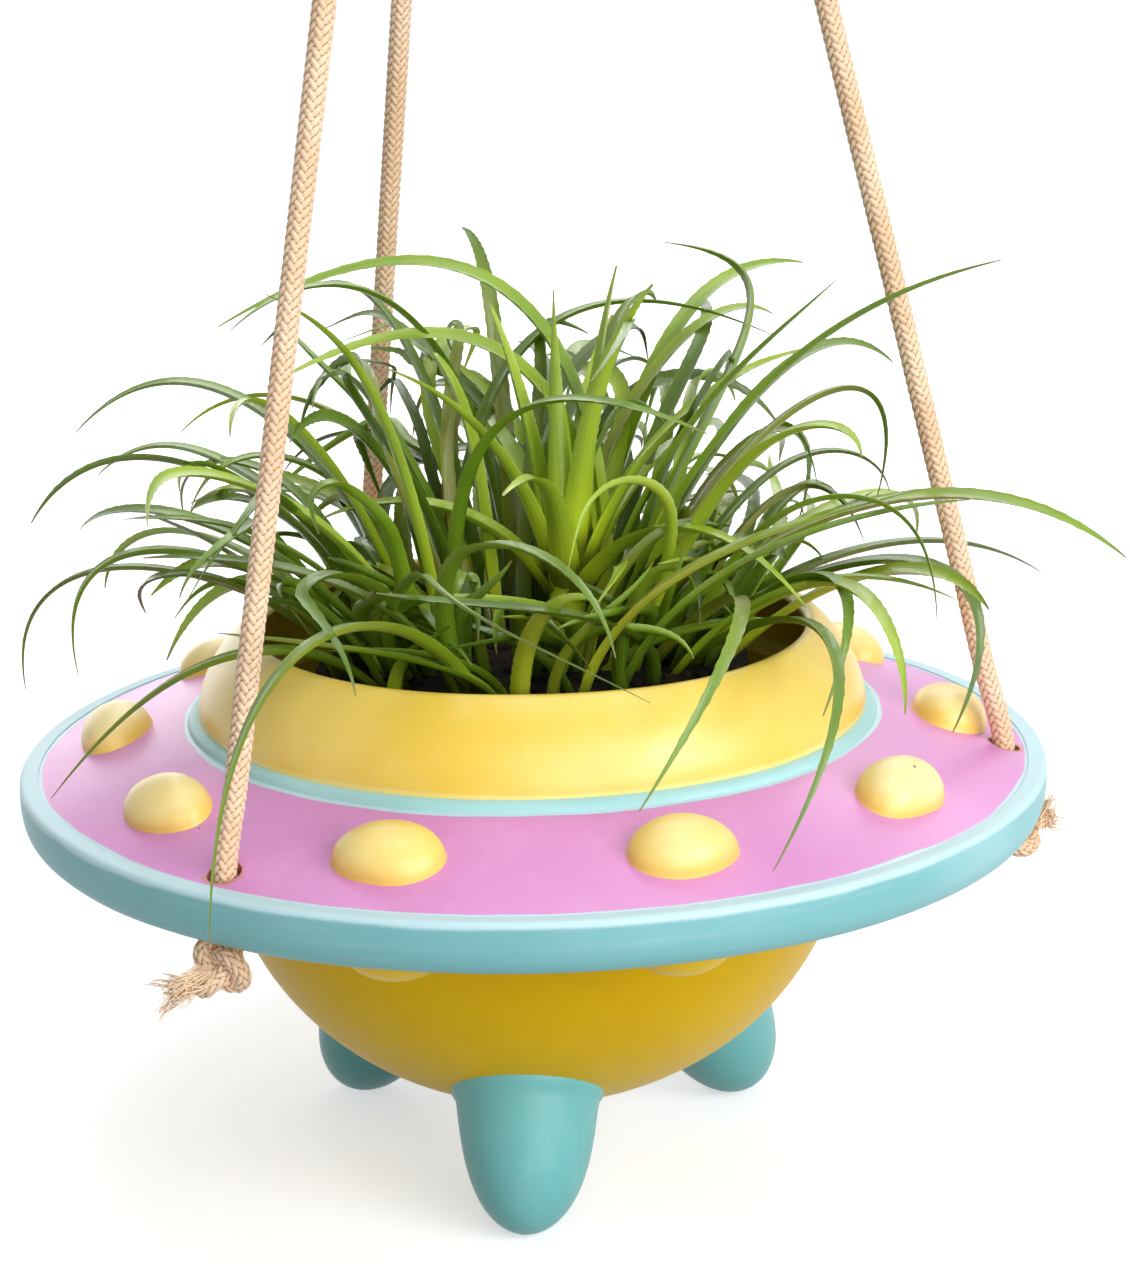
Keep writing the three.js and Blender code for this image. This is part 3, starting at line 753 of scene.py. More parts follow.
hangerPieces = [makeWrap(), *makeLoops(), makeRing()]
for piece, path in ropes:
    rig.cord(piece, exit=path[0], length=rope["length"], diameter=rope["diameter"], far_end="knot",
            stiffness="limp", lay="taut", path=path, with_pieces=hangerPieces if piece == ropes[0][0] else ())
print("hanger made")


# Painted resin: yellow, pink and turquoise, brushed on by hand

yellowLook = dict(base=shade(236, 205, 80), deep=shade(230, 193, 46), pale=shade(245, 228, 146))
domeLook = dict(base=shade(247, 227, 160), deep=shade(241, 205, 94), pale=shade(251, 240, 204))
# painted shade: a deeper, more saturated copy of the dome paint for the domes under the brim
shadedDomeLook = dict(base=shade(238, 202, 24), deep=shade(230, 190, 6), pale=shade(244, 214, 60))
# painted shade: the collar's yellow paint made deeper and more saturated for the bowl and the brim's underside, which
# sit under the brim
shadedYellowLook = dict(base=shade(226, 186, 0), deep=shade(216, 174, 0), pale=shade(234, 198, 10))
pinkLook = dict(base=shade(217, 142, 205), deep=shade(209, 128, 196), pale=shade(227, 167, 218))
tealLook = dict(base=shade(148, 200, 204), deep=shade(117, 180, 184), pale=shade(190, 221, 229))
footLook = dict(base=shade(112, 183, 185), deep=shade(88, 163, 164), pale=shade(150, 205, 208))
speck = dict(scale=62.0, size=0.022, share=0.5, shift=(0.137, 0.071, 0.023), colour=shade(58, 44, 48))
brush = dict(patches=14.0, strokes=120.0, grain=900.0, pale=0.24, coat=0.24, relief=0.12 * mm)


class Paint(Finish):  # one paint: uneven patches of colour with paler strokes
    def __init__(self, name, look, shine, coat=None, coatRough=0.25, streak=(1, 1, 1)):
        weight = brush["coat"] * shine if coat is None else coat
        super().__init__(name, look["deep"], Coat_Weight=weight, Coat_Roughness=coatRough,
                         Specular_IOR_Level=shine)
        self.strokes = self.noise(brush["strokes"], 3.0, 0.6, self.stretch(streak))
        self.over(self.ramp(self.noise(brush["patches"]), 0.32, 0.68), look["base"])
        self.over(self.ramp(self.strokes, 0.45, 0.85) * brush["pale"], look["pale"])

    def coated(self, gloss):  # adds a few dark pinholes and the brush's relief
        sockets = {"Vector": self.stretch((1, 1, 1), speck["shift"]), "Scale": speck["scale"]}
        kinds = ("Distance", "Color")
        holes, lot = (self.add("ShaderNodeTexVoronoi", sockets=sockets, out=kind) for kind in kinds)
        few = self.axis("X", lot) < speck["share"]
        self.over((holes < speck["size"]) * few, speck["colour"])
        self.bump(self.strokes * 0.7 + self.noise(brush["grain"]) * 0.3, brush["relief"], 0.35)
        return self.done(Roughness=gloss + self.strokes * 0.16)


def plainPaint(name, look, streak=(1, 1, 1), gloss=0.36, shine=0.3):
    return Paint(name, look, shine, streak=streak).coated(gloss)


# Bowl

bowl = dict(radius=68.6 * mm, depth=63.0 * mm, top=-14.0 * mm, wall=4.0 * mm, neckTop=5.0 * mm)


def makeBowl():
    middle = (0, bowl["top"])
    inner = (bowl["radius"] - bowl["wall"], bowl["depth"] - bowl["wall"])
    profile = arc(middle, (bowl["radius"], bowl["depth"]), -90, 0, 40)
    profile += [(bowl["radius"], bowl["neckTop"]), (inner[0], bowl["neckTop"])]
    profile += arc(middle, inner, 0, -90, 30)
    # painted shade: the bowl takes the deeper copy of the yellow paint
    paint = plainPaint("bowl_yellow_shaded", shadedYellowLook, shine=0.15)
    cast("cast_bowl", turned(profile, 120), paint, "yellow_paint", "bowl")


makeBowl()


# Brim: pink slope, yellow underside, turquoise band

brim = dict(
    outer=106.2 * mm,
    inner=73.9 * mm,
    neck=64.6 * mm,
    plate=4.0 * mm,
    bandGap=0.3 * mm,
    bandWidth=3.5 * mm,
    bandLip=0.3 * mm,
    bandFit=0.35 * mm,  # how far the band reaches in behind the slope
    shoulder=1.3 * mm,
    edge=-10.6 * mm,
    drop=4.4 * mm,
    underInner=68.9 * mm,
    steps=180,
)


def drilled(bm):
    drill = bmesh.new()
    for turn in rope["turns"]:
        hole = bmesh.ops.create_cone(drill, cap_ends=True, segments=28, depth=80 * mm,
                                     radius1=rope["holeRadius"], radius2=rope["holeRadius"])["verts"]
        bmesh.ops.translate(drill, verts=hole, vec=polar(turn, rope["holeCircle"], 0))
    return cutWith(bm, drill)


slopePaint = dict(
    rim=(105.0 * mm, 105.5 * mm),  # radii between which turquoise laps over the pink; its pale tone is painted highlight, as on the band's top edge
    bead=(75.2 * mm, 74.8 * mm),
    neck=(71.2 * mm, 70.8 * mm),
    wobble=1.5 * mm,
    worn=(4.3 * mm, 3.7 * mm),  # round each hole
    chips=5.0 * mm,
    stain=shade(188, 128, 62),
)


def pinkSlope():
    paint = Paint("pink_paint", pinkLook, 0.7, 0.2)
    radius = paint.fromAxis()
    border = radius + paint.uneven(slopePaint["wobble"], 45.0)
    chips = paint.uneven(slopePaint["chips"], 420.0, 3.0, 0.7)
    # the turquoise laps are real paint; their pale tone is painted highlight
    paint.over(paint.ramp(border, *slopePaint["rim"]), tealLook["pale"])
    paint.over(paint.ramp(border, *slopePaint["bead"]), tealLook["pale"])
    paint.over(paint.ramp(radius, *slopePaint["neck"]), yellowLook["deep"])
    for turn in rope["turns"]:
        centre = polar(turn, rope["holeCircle"], edgeLevel + 1 * mm)
        far = paint.add("ShaderNodeVectorMath", {"operation": "DISTANCE"}, {0: paint.at, 1: centre}, "Value")
        paint.over(paint.ramp(far + chips, *slopePaint["worn"]) * 0.8, slopePaint["stain"])
    return paint.coated(0.34)


def makeBrim():
    slope = [(brim["outer"], 0), (brim["inner"], slopeRise), (brim["neck"], slopeRise)]
    slope += [(radius, height - brim["plate"]) for radius, height in reversed(slope)]
    bm = turned(slope, brim["steps"], closed=True)
    long = [e for e in bm.edges if abs(e.verts[0].co.xy.length - e.verts[1].co.xy.length) > 20 * mm]
    bmesh.ops.subdivide_edges(bm, edges=long, cuts=7, use_grid_fill=True)
    cast("pink_slope", drilled(bm), pinkSlope(), "pink_paint", "brim_top", sharp=30)
    low = brim["edge"]
    under = [(brim["outer"], low), (brim["underInner"], low - brim["drop"])]
    under += [(radius, height + brim["plate"]) for radius, height in reversed(under)]
    bm = drilled(turned(under, brim["steps"], closed=True))
    # painted shade: the brim's underside takes the same deeper copy of the yellow paint
    paint = plainPaint("under_yellow_shaded", shadedYellowLook, shine=0.15)
    cast("brim_under", bm, paint, "yellow_paint", "brim_underside", sharp=30)


bandLightAndShade = dict(wobble=3.0 * mm, deep=(-4.5 * mm, -9.5 * mm), pale=(-1.4 * mm, -0.4 * mm))  # heights: painted shade low on the band, painted highlight along its top edge


def turquoiseBand():
    paint = Paint("band_turquoise", tealLook, 0.3, 0.06, 0.3, (0.25, 0.25, 3.0))
    height = paint.axis("Z") - edgeLevel
    wobble = paint.uneven(bandLightAndShade["wobble"], 60.0, 3.0, 0.5, paint.stretch((1, 1, 2)))
    # painted shade: darker towards the bottom of the band
    paint.over(paint.ramp(height + wobble, *bandLightAndShade["deep"]) * 0.6, tealLook["deep"])
    # painted highlight: paler along the band's top edge
    paint.over(paint.ramp(height + wobble * 0.4, *bandLightAndShade["pale"]), tealLook["pale"])
    return paint.coated(0.38)


def makeBand():
    low, lip, shoulder = brim["edge"], brim["bandLip"], brim["shoulder"]
    inner = brim["outer"] + brim["bandGap"]
    outer = inner + brim["bandWidth"]
    profile = [(inner - brim["bandFit"], lip)]
    profile += arc((outer - shoulder, lip - shoulder), (shoulder, shoulder), 90, 0, 8)
    profile += bezier((outer, -2.2 * mm), (outer + 0.2 * mm, 0.62 * low), (outer - 0.8 * mm, low + 0.3 * mm),
                      (inner, low - 0.2 * mm), 14)
    profile += [(inner - brim["bandFit"], low + 1 * mm)]
    cast("edge_band", turned(profile, 240, closed=True), turquoiseBand(), "turquoise_paint", "rim_band")


makeBrim()
makeBand()
print("brim made")


# Collar and its bead

collar = dict(footRadius=71.5 * mm, lean=8.7 * mm, height=19.6 * mm, wall=4.2 * mm, swell=0.8 * mm,
              lead=6.0 * mm, lipTurn=50, foot=9.3 * mm, rise=0.3 * mm, bead=2.3 * mm,
              paleLine=(3.2 * mm, 2.4 * mm), wobble=1.4 * mm)
# painted highlight: a paler copy of the turquoise paint for the up-facing bead
litBeadLook = dict(tealLook, base=shade(170, 215, 216), deep=shade(152, 205, 206))


def collarPaint():  # paler in a thin uneven line where it meets the bead
    paint = Paint("collar_yellow", yellowLook, 0.9, 0.25, 0.3)
    height = paint.axis("Z") - (edgeLevel + collar["foot"])
    wobble = paint.uneven(collar["wobble"], 50.0)
    paint.over(paint.ramp(height + wobble, *collar["paleLine"]) * 0.6, yellowLook["pale"])
    return paint.coated(0.3)


def makeCollar():
    foot, wall = collar["foot"], collar["wall"]
    outer = collar["footRadius"]
    lip = outer - collar["lean"]
    top = foot + collar["rise"] + collar["height"]
    roll = wall / 2
    lipArc = arc((lip - roll, top - roll), (roll, roll), collar["lipTurn"], 175, 12)
    turn = math.radians(collar["lipTurn"])
    lead = (lipArc[0][0] + collar["lead"] * math.sin(turn), lipArc[0][1] - collar["lead"] * math.cos(turn))
    swell = (outer + collar["swell"], foot + 0.4 * collar["height"])
    profile = bezier((outer, foot), swell, lead, lipArc[0], 22) + lipArc[1:]
    inner = [(radius - wall, height) for radius, height in (lead, swell, (outer, foot))]
    profile += bezier(lipArc[-1], *inner, 14)[1:]
    bm = turned(profile, brim["steps"], closed=True)
    cast("mouth_collar", bm, collarPaint(), "yellow_paint", "collar")
    size = collar["bead"]
    bead = [(outer - 0.4 * mm, foot - 0.1 * mm), (outer + size + 0.35 * mm, foot - 0.3 * mm)]
    bead += arc((outer - 0.2 * mm, foot), (size + 0.3 * mm, size * 0.85), 8, 90, 8)
    bm = turned(bead, brim["steps"], closed=True)
    # the bead takes the paler copy of the turquoise paint: painted highlight
    cast("foot_bead", bm, plainPaint("bead_turquoise_lit", litBeadLook), "turquoise_paint", "collar_bead")


makeCollar()
print("collar made")


# Domed lights above and below the brim: oval, with uneven outlines that come to a soft point on one side

dome = dict(count=10, along=10.8 * mm, towardsRim=8.2 * mm, height=6.6 * mm, circle=90.05 * mm,
            skirt=0.7 * mm, rise=0.3 * mm, point=0.16, lump=0.6 * mm, lumpScale=75.0, seed=3, gloss=0.34)


def domePaintWithShade(name, look, shine):  # painted shade: deeper yellow round the foot of each dome, paler at the crest
    paint = Paint(name, look, shine)
    # painted shade, rising from each dome's foot towards its crest
    low = paint.ramp(paint.attribute("crest") + (paint.strokes - 0.5) * 0.3, 0.75, 0.05)
    paint.over(low, look["deep"])
    return paint.coated(dome["gloss"])


def makeDome(rng):
    skirt = -dome["skirt"] / dome["height"]
    profile = [(0, skirt), (1.03, skirt)]
    for i in range(14):
        angle = tau / 4 * i / 14
        profile.append((math.cos(angle) ** 0.9, math.sin(angle) ** 1.08))
    bm = turned(profile + [(0, 1)], 56)
    tip, lobe = rng.choice((0, math.pi)) + rng.uniform(-0.5, 0.5), rng.uniform(0, tau)
    point, push = dome["point"] * rng.random(), rng.uniform(0.015, 0.045)
    lump = Vector([rng.uniform(-9, 9) for _ in range(3)])
    layer = bm.verts.layers.float.new("crest")
    for vert in bm.verts:
        vert[layer] = vert.co.z
        angle = math.atan2(vert.co.x, vert.co.y)
        low = 1 - max(0, vert.co.z)
        towards = max(0, math.cos(angle - tip)) ** 6
        swell = 1 + low * (point * towards + push * math.cos(3 * angle + lobe))
        vert.co = Vector((vert.co.x * swell * dome["towardsRim"], vert.co.y * swell * dome["along"],
                          vert.co.z * dome["height"]))
    roughen(bm.verts, dome["lumpScale"], dome["lump"], lump)
    return bm


def makeDomes():
    rng = random.Random(dome["seed"])
    inset = brim["outer"] - dome["circle"]
    slope = slopeRise / (brim["outer"] - brim["inner"])
    under = brim["drop"] / (brim["outer"] - brim["underInner"])
    sides = (
        ("top", inset * slope + dome["rise"], math.atan(slope), domePaintWithShade("dome_yellow", domeLook, 0.7)),
        # the domes under the brim take the shaded copy of the dome paint: painted shade
        ("under", brim["edge"] - inset * under - dome["rise"], math.pi - math.atan(under),
         domePaintWithShade("under_dome_yellow_shaded", shadedDomeLook, 0.3)),
    )
    for i in range(dome["count"]):
        turn = 360 * i / dome["count"]
        for side, height, tilt, paint in sides:
            bm = makeDome(rng)
            move = Matrix.Translation(polar(turn, dome["circle"], height))
            spin = turning(turn, "Z") @ Matrix.Rotation(tilt, 4, "Y")
            bmesh.ops.transform(bm, matrix=move @ spin, verts=bm.verts)
            number = f"{i + 1:02d}"
            cast(f"dome_{side}_{number}", bm, paint, "yellow_paint", f"{side}_light_{number}")


makeDomes()
print("domes made")


# Feet

foot = dict(count=3, turn=-94, radius=15.8 * mm, length=35.5 * mm, splay=28, seat=32.6, sink=9.0 * mm,
            taper=0.22, pad=0.5 * mm, bury=0.5 * mm, flange=0.8 * mm, flangeFoot=0.8 * mm,
            flangeHeight=2.6 * mm)


def overBowl(point):  # how far a point stands off the bowl, roughly
    flat = point.xy.length / bowl["radius"]
    tall = (point.z - bowl["top"]) / bowl["depth"]
    return (math.hypot(flat, tall) - 1) * bowl["radius"]


def makeFeet():
    material = plainPaint("foot_turquoise", footLook, (1, 1, 0.4), gloss=0.32)
    seat = math.radians(foot["seat"])
    level = bowl["top"] - bowl["depth"] * math.cos(seat) + foot["sink"]
    root = Vector((bowl["radius"] * math.sin(seat), 0, level))
    radius = foot["radius"]
    profile = [(0, radius)] + [(radius, radius * (1 - i / 12)) for i in range(12)]
    for i in range(41):
        s = math.sin(tau / 4 * i / 40)
        wide = radius * (1 - foot["taper"] * s)
        profile.append((wide * math.sqrt(max(0, 1 - s ** 4)), -foot["length"] * s))
    size = [bowl[key] - foot["bury"] for key in ("radius", "depth")]
    hollow = arc((0, bowl["top"]), size, -90, 0, 40) + [(0, bowl["top"])]
    for i in range(foot["count"]):
        bm = turned(profile, 64)
        spin = turning(foot["turn"] + 360 * i / foot["count"], "Z")
        frameOfFoot = spin @ Matrix.Translation(root) @ turning(-foot["splay"], "Y")
        bmesh.ops.transform(bm, matrix=frameOfFoot, verts=bm.verts)
        bm = cutWith(bm, turned(hollow, 120))
        axis = (frameOfFoot.to_3x3() @ Vector((0, 0, -1))).normalized()
        start = frameOfFoot.translation
        for vert in bm.verts:
            off = vert.co - start
            out = off - axis * off.dot(axis)
            above = (overBowl(vert.co) - foot["flangeFoot"]) / (foot["flangeHeight"] - foot["flangeFoot"])
            if out.length > 0.5 * radius:
                vert.co += out.normalized() * foot["flange"] * smooth(1 - min(1, max(0, above)))
        low = min(vert.co.z for vert in bm.verts) + foot["pad"]
        cut = bmesh.ops.bisect_plane(bm, geom=bm.verts[:] + bm.edges[:] + bm.faces[:], plane_co=(0, 0, low),
                                     plane_no=(0, 0, -1), clear_outer=True)["geom_cut"]
        bmesh.ops.holes_fill(bm, edges=[e for e in cut if isinstance(e, bmesh.types.BMEdge)], sides=0)
        cast(f"splayed_foot_{i + 1}", bm, material, "turquoise_paint", f"foot_{i + 1}", sharp=50)


makeFeet()
print("feet made")


# Potting mix

soil = dict(top=20.0 * mm, radius=46.0 * mm, footRadius=40.0 * mm, foot=-59.5 * mm, mound=3.0 * mm,
            round=2.5 * mm, lump=1.1 * mm, lumpScale=120.0, crumbs=260, crumb=(0.7 * mm, 2.1 * mm), seed=5)
roots = dict(count=120, thick=0.38 * mm, steps=26, out=0.5 * mm, lowest=0.05, under=30,
             wander=2.0 * mm, below=0.2 * mm)  # under: how many lie below the mix
# dark: partly the mix's own colour, partly painted shade, near black for the gaps between the leaves
soilLook = dict(dark=shade(13, 11, 8), brown=shade(56, 44, 29), root=shade(188, 168, 128))


def mixFinish():
    # the near-black base colour of the mix is partly painted shade
    finish = Finish("potting_mix", soilLook["dark"], Specular_IOR_Level=0.2)
    grain = finish.noise(420.0, 5.0, 0.7)
    clods = finish.noise(90.0, 3.0)
    finish.over(finish.ramp(grain * 0.6 + clods * 0.4, 0.42, 0.66), soilLook["brown"])
    finish.over(finish.attribute("root") * (0.6 + clods * 0.5), soilLook["root"])
    finish.bump(grain, 1.2 * mm, 0.9)
    return finish.done(Roughness=0.85 + grain * 0.12)


def rootLines(rng):  # roots that wander down the sides of the mix, and others under it
    lines = []
    tall = soil["top"] - soil["foot"]
    for i in range(roots["count"] + roots["under"]):
        turn, phase = rng.uniform(0, 360), rng.uniform(0, tau)
        swing, drift = rng.uniform(3, 9), rng.uniform(-30, 30)
        start, fall = rng.uniform(0.3, 0.97), rng.uniform(0.25, 0.7)
        around, ring = rng.uniform(60, 150), rng.uniform(0.4, 0.95)
        line = []
        for k in range(roots["steps"]):
            t = k / (roots["steps"] - 1)
            wave = math.sin(phase + 7 * t) + 0.5 * math.sin(2 * phase + 17 * t)
            if i < roots["count"]:
                up = max(roots["lowest"], start - fall * t)
                wide = soil["footRadius"] + (soil["radius"] - soil["footRadius"]) * up + roots["out"]
                line.append(polar(turn + swing * wave + drift * t, wide, soil["foot"] + up * tall))
            else:
                wide = soil["footRadius"] * ring + roots["wander"] * wave
                wide = min(wide, soil["footRadius"] - soil["round"])
                line.append(polar(turn + around * t, wide, soil["foot"] - roots["below"]))
        lines.append(line)
    return lines


def makeSoil():
    rng = random.Random(soil["seed"])
    top, foot, wide, narrow, bend = (soil[key] for key in ("top", "foot", "radius", "footRadius", "round"))
    profile = [(0, foot), (narrow - bend, foot), (narrow - 0.1 * bend, foot + 0.8 * bend)]
    profile += [(narrow + (wide - narrow) * i / 14, foot + (top - foot) * i / 14) for i in range(1, 15)]
    for i in range(1, 17):
        share = i / 16
        profile.append((wide * (1 - share), top + soil["mound"] * share * (2 - share)))
    bm = turned(profile, 96)
    roughen(bm.verts, soil["lumpScale"], soil["lump"])
    for _ in range(soil["crumbs"]):
        size = rng.uniform(*soil["crumb"])
        out = math.sqrt(rng.random())
        level = top + soil["mound"] * (1 - out * out)
        spot = polar(rng.uniform(0, 360), (wide - 2 * mm) * out, level)
        made = bmesh.ops.create_icosphere(bm, subdivisions=1, radius=size)["verts"]
        roughen(made, 600, 0.5 * size, spot * 900)
        bmesh.ops.scale(bm, verts=made, vec=(1, 1, 0.7))
        bmesh.ops.translate(bm, verts=made, vec=spot)
    layer = bm.verts.layers.float.new("root")
    earth = len(bm.verts)
    threadsInto(bm, rootLines(rng), roots["thick"])
    for vert in bm.verts[earth:]:
        vert[layer] = 1.0
    settle("potting_mix", bm, mixFinish(), "potting_mix", "root_plug", "plant", sharp=60)


makeSoil()


# Leaves: the same lines as the solids, grouped in the same divisions, plus finer ones that fill them

tuft = dict(
    radius=100.0 * mm,
    crown=44.0 * mm,
    crownFoot=20.3 * mm,
    rootRise=1.0 * mm,
    rootSink=4.0 * mm,  # the blades go on down into the mix
    lip=29.2 * mm,
    lean=0.07,
    ropeSway=11,
    frontTurn=-88,
    frontGap=36,
    heartGap=78,
    swirl=34,
    heartShare=0.48,
    divisionTurn=-45,
    divisions=("right", "back", "left", "front"),
    sways=(4.0 * mm, 0.8 * mm),  # of the ring leaves and the chosen ones
    seed=11,
)
blade = dict(
    width=4.4 * mm,
    tip=0.35 * mm,
    taper=3.2,
    depth=0.42,  # of the width, from edge to keel
    channel=0.13,
    tooth=0.15 * mm,
    toothRows=3,
    rows=84,
    around=8,
)
chosenLeaves = (  # turn, root, climb, arch, reach, tip, bend
    (-110, 0.68, 0.4, 1.22, 1.15, -0.36, -12),
    (-24, 0.55, 0.32, 0.92, 0.88, -0.16, -53),
    (-24, 0.64, 0.28, 1.12, 1.08, -0.24, -42),
    (-14, 0.55, 0.36, 1.16, 0.96, -0.14, -14),
    (-18, 0.45, 0.44, 0.98, 1.26, 0.2, 0),
    (8, 0.68, 0.24, 0.92, 1.15, 0.02, 2),
    (-18, 0.32, 0.7, 0.72, 1.01, 0.8, -4),
    (-4, 0.27, 0.68, 0.74, 0.4, 0.76, 44),
    (100, 0.32, 0.74, 0.4, 0.44, 0.78, 8),
    (52, 0.36, 0.7, 0.62, 0.88, 0.66, -8),
    (176, 0.55, 0.5, 0.9, 1.06, 0.22, 2),
    (164, 0.45, 0.62, 0.78, 1, 0.38, 4),
    (-170, 0.68, 0.32, 1.12, 1.08, -0.12, -6),
    (-142, 0.82, 0.18, 0.78, 1.06, -0.26, -17),
    (-160, 0.59, 0.4, 1.06, 0.98, -0.02, 0),
    (-94, 0.86, 0.26, 0.58, 0.54, 0.16, 18),
    (-46, 0.77, 0.22, 0.64, 0.7, 0.22, -70),
    (-16, 0.77, 0.32, 0.88, 0.82, -0.06, -30),
    (-32, 0.73, 0.26, 0.76, 0.94, 0.12, 8),
    (-16, 0.23, 0.56, 0.46, 0.66, 0.74, 0),
    (-150, 0.45, 0.64, 0.4, 0.62, 0.76, 6),
    (-76, 0.84, 0.34, 0.7, 0.86, 0.34, 52),
    (-62, 0.8, 0.36, 0.78, 0.94, 0.3, 44),
    (-112, 0.84, 0.3, 0.66, 0.84, 0.22, -47),
    (-98, 0.8, 0.14, 0.62, 0.74, 0.08, -50),
)
leafRings = (  # count, root, climb, arch, reach, tip, start
    (7, 0.14, 0.62, 0.24, 0.34, 0.5, 8),
    (10, 0.32, 0.62, 0.52, 0.6, 0.54, 22),
    (12, 0.5, 0.52, 0.74, 0.82, 0.34, 3),
    (11, 0.68, 0.37, 0.88, 0.96, 0.14, 14),
    (8, 0.86, 0.24, 0.8, 0.92, 0.02, 31),
)


def apart(turn, other):  # degrees between two turns, the short way round
    return (turn - other + 180) % 360 - 180


def clearOfRopes(turn):
    for ropeTurn in rope["turns"]:
        off = apart(turn, ropeTurn)
        if abs(off) < tuft["ropeSway"]:
            return ropeTurn + math.copysign(tuft["ropeSway"], off)
    return turn


def clearBend(turn, bend):  # bends a leaf the other way where its tip would reach a rope
    for ropeTurn in rope["turns"]:
        before = apart(turn, ropeTurn)
        after = before + bend
        if before * after < 0 or abs(after) < tuft["ropeSway"]:
            return -bend
    return bend


def leafShapes():
    shapes = list(chosenLeaves)
    for level, (count, root, climb, arch, reach, tip, start) in enumerate(leafRings):
        for i in range(count):
            sway = math.sin(5.3 * i + 2.1 * level)
            spread = math.cos(3.7 * i + 1.3 * level)
            turn = clearOfRopes(start + 360 * i / count + 7 * sway)
            gap = tuft["heartGap"] if root < tuft["heartShare"] else tuft["frontGap"]
            if abs(apart(turn, tuft["frontTurn"])) < gap:
                continue
            stretch = 1 + 0.1 * sway + tuft["lean"] * math.cos(math.radians(turn))
            bend = clearBend(turn, tuft["swirl"] * math.cos(2.9 * i + 0.7 * level))
            shapes.append((turn, root, climb * (1 + 0.16 * spread), arch * stretch, reach * stretch,
                           tip + 0.14 * spread, bend))
    return shapes


def leafLine(shape, count):
    turn, root, climb, arch, reach, tip, bend = shape
    size, start = tuft["radius"], tuft["crownFoot"] + tuft["rootRise"]
    foot = root * tuft["crown"]
    shoulder = foot + 0.4 * (arch * size - foot)
    return interpolate_bezier(
        polar(turn, foot, start - tuft["rootSink"]),
        polar(turn, shoulder, start + 0.9 * climb * size),
        polar(turn + 0.6 * bend, arch * size, start + 1.15 * climb * size),
        polar(turn + bend, reach * size, tuft["lip"] + tip * size),
        count,
    )


def levelSide(line):  # level direction across a line, from its first half
    along = line[len(line) // 2] - line[0]
    return Vector((along.y, -along.x, 0)).normalized()


def swayed(line, rng, amount):  # a line bent gently from side to side, more towards its tip
    turns, phase = rng.uniform(0.6, 1.3), rng.uniform(0, tau)
    side = levelSide(line)
    bent = []
    for i, point in enumerate(line):
        t = i / (len(line) - 1)
        bent.append(point + side * amount * t * (math.sin(tau * turns * t + phase) - math.sin(phase)))
    return bent


liftRoom = dict(lift=100.0 * mm, side=5.8 * mm, fade=16.0 * mm, soft=2.0 * mm)  # kept free beside the ropes


def ropeRadius(height):  # how far the ropes are from the axis at a height
    level = height / mm
    route = rope["route"]
    for (share, start), (nextShare, end) in zip(route, route[1:]):
        if level <= end:
            part = max(0, (level - start) / (end - start))
            return (share + (nextShare - share) * part) * rope["holeCircle"]
    return route[-1][0] * rope["holeCircle"]


def pastRopes(line):  # a line moved sideways where a rope would stop it as the plant is lifted out
    side, fade = liftRoom["side"], liftRoom["fade"]
    for ropeTurn in rope["turns"]:
        out, across = polar(ropeTurn, 1, 0), polar(ropeTurn + 90, 1, 0)
        spots = []
        for point in line:
            near = ropeRadius(point.z + liftRoom["lift"]) - side
            spots.append((point.dot(out), point.dot(across), near, ropeRadius(point.z) + side))
        if not any(near < u < far and abs(v) < side for u, v, near, far in spots):
            continue
        way = math.copysign(1, sum(v for u, v, near, far in spots if u > near))
        moved = []
        for point, (u, v, near, far) in zip(line, spots):
            push = 0.5 * (side - way * v + math.hypot(side - way * v, liftRoom["soft"]))
            share = min(1, max(0, 1 + (u - near) / fade))
            moved.append(point + across * way * push * smooth(share))
        line = moved
    return line


def leafInto(bm, layers, line, rng, broad, tone, taper):  # a keeled, channelled, finely toothed blade
    rows = len(line) - 1
    twist, warm = rng.uniform(-1.2, 1.2), rng.random()
    places = carried(line, levelSide(line))
    for vert, row, turn in tubeInto(bm, rows, blade["around"]):
        t = row / rows
        point, edge, under = places[row]
        over = -under
        c, s = math.cos(twist * t * t), math.sin(twist * t * t)
        edge, over = edge * c + over * s, over * c - edge * s
        half = 0.5 * broad * (blade["tip"] + (blade["width"] - blade["tip"]) * (1 - t ** taper))
        side, up = math.cos(tau * turn), math.sin(tau * turn)
        lift = -2 * blade["channel"] * (1 - side * side) if up > 0.01 else 2 * blade["depth"] * up
        toothed = abs(side) > 0.99 and row % blade["toothRows"] == 0 and 0.05 < t < 0.9
        vert[layers["tone"]] = tone
        vert[layers["warm"]] = warm
        vert[layers["along"]] = t
        vert[layers["across"]] = side if up > -0.01 else 0.6 * side
        reach = half * side + (math.copysign(blade["tooth"], side) if toothed else 0)
        vert.co = point + edge * reach + over * half * lift


shoot = dict(  # the pale young shoot in the heart of the plant
    offset=8.0 * mm,  # to the right of the axis
    inner=3,  # short upright leaves that close its middle
    leaves=11,
    stem=4.4 * mm,
    height=24.0 * mm,
    length=60.0 * mm,
    start=20,
    turn=137.5,
    lean=(8, 72),  # degrees from upright, the first leaf and the last
    broad=1.5,
    taper=1.2,
)
arcs = (  # leaves that arch over the top of the plant, listed as the chosen ones are
    (20, 0.4, 0.86, 0.34, 0.66, 0.62, 150),
    (15, 0.35, 0.7, 0.3, 0.55, 0.5, 160),
    (0, 0.35, 0.66, 0.86, 0.74, 0.24, 0),
    (150, 0.4, 0.74, 0.32, 0.58, 0.56, -128),
    (64, 0.3, 0.76, 0.36, 0.52, 0.6, -140),
    (196, 0.36, 0.62, 0.3, 0.5, 0.46, 120),
    (100, 0.4, 0.8, 0.4, 0.62, 0.66, 96),
)
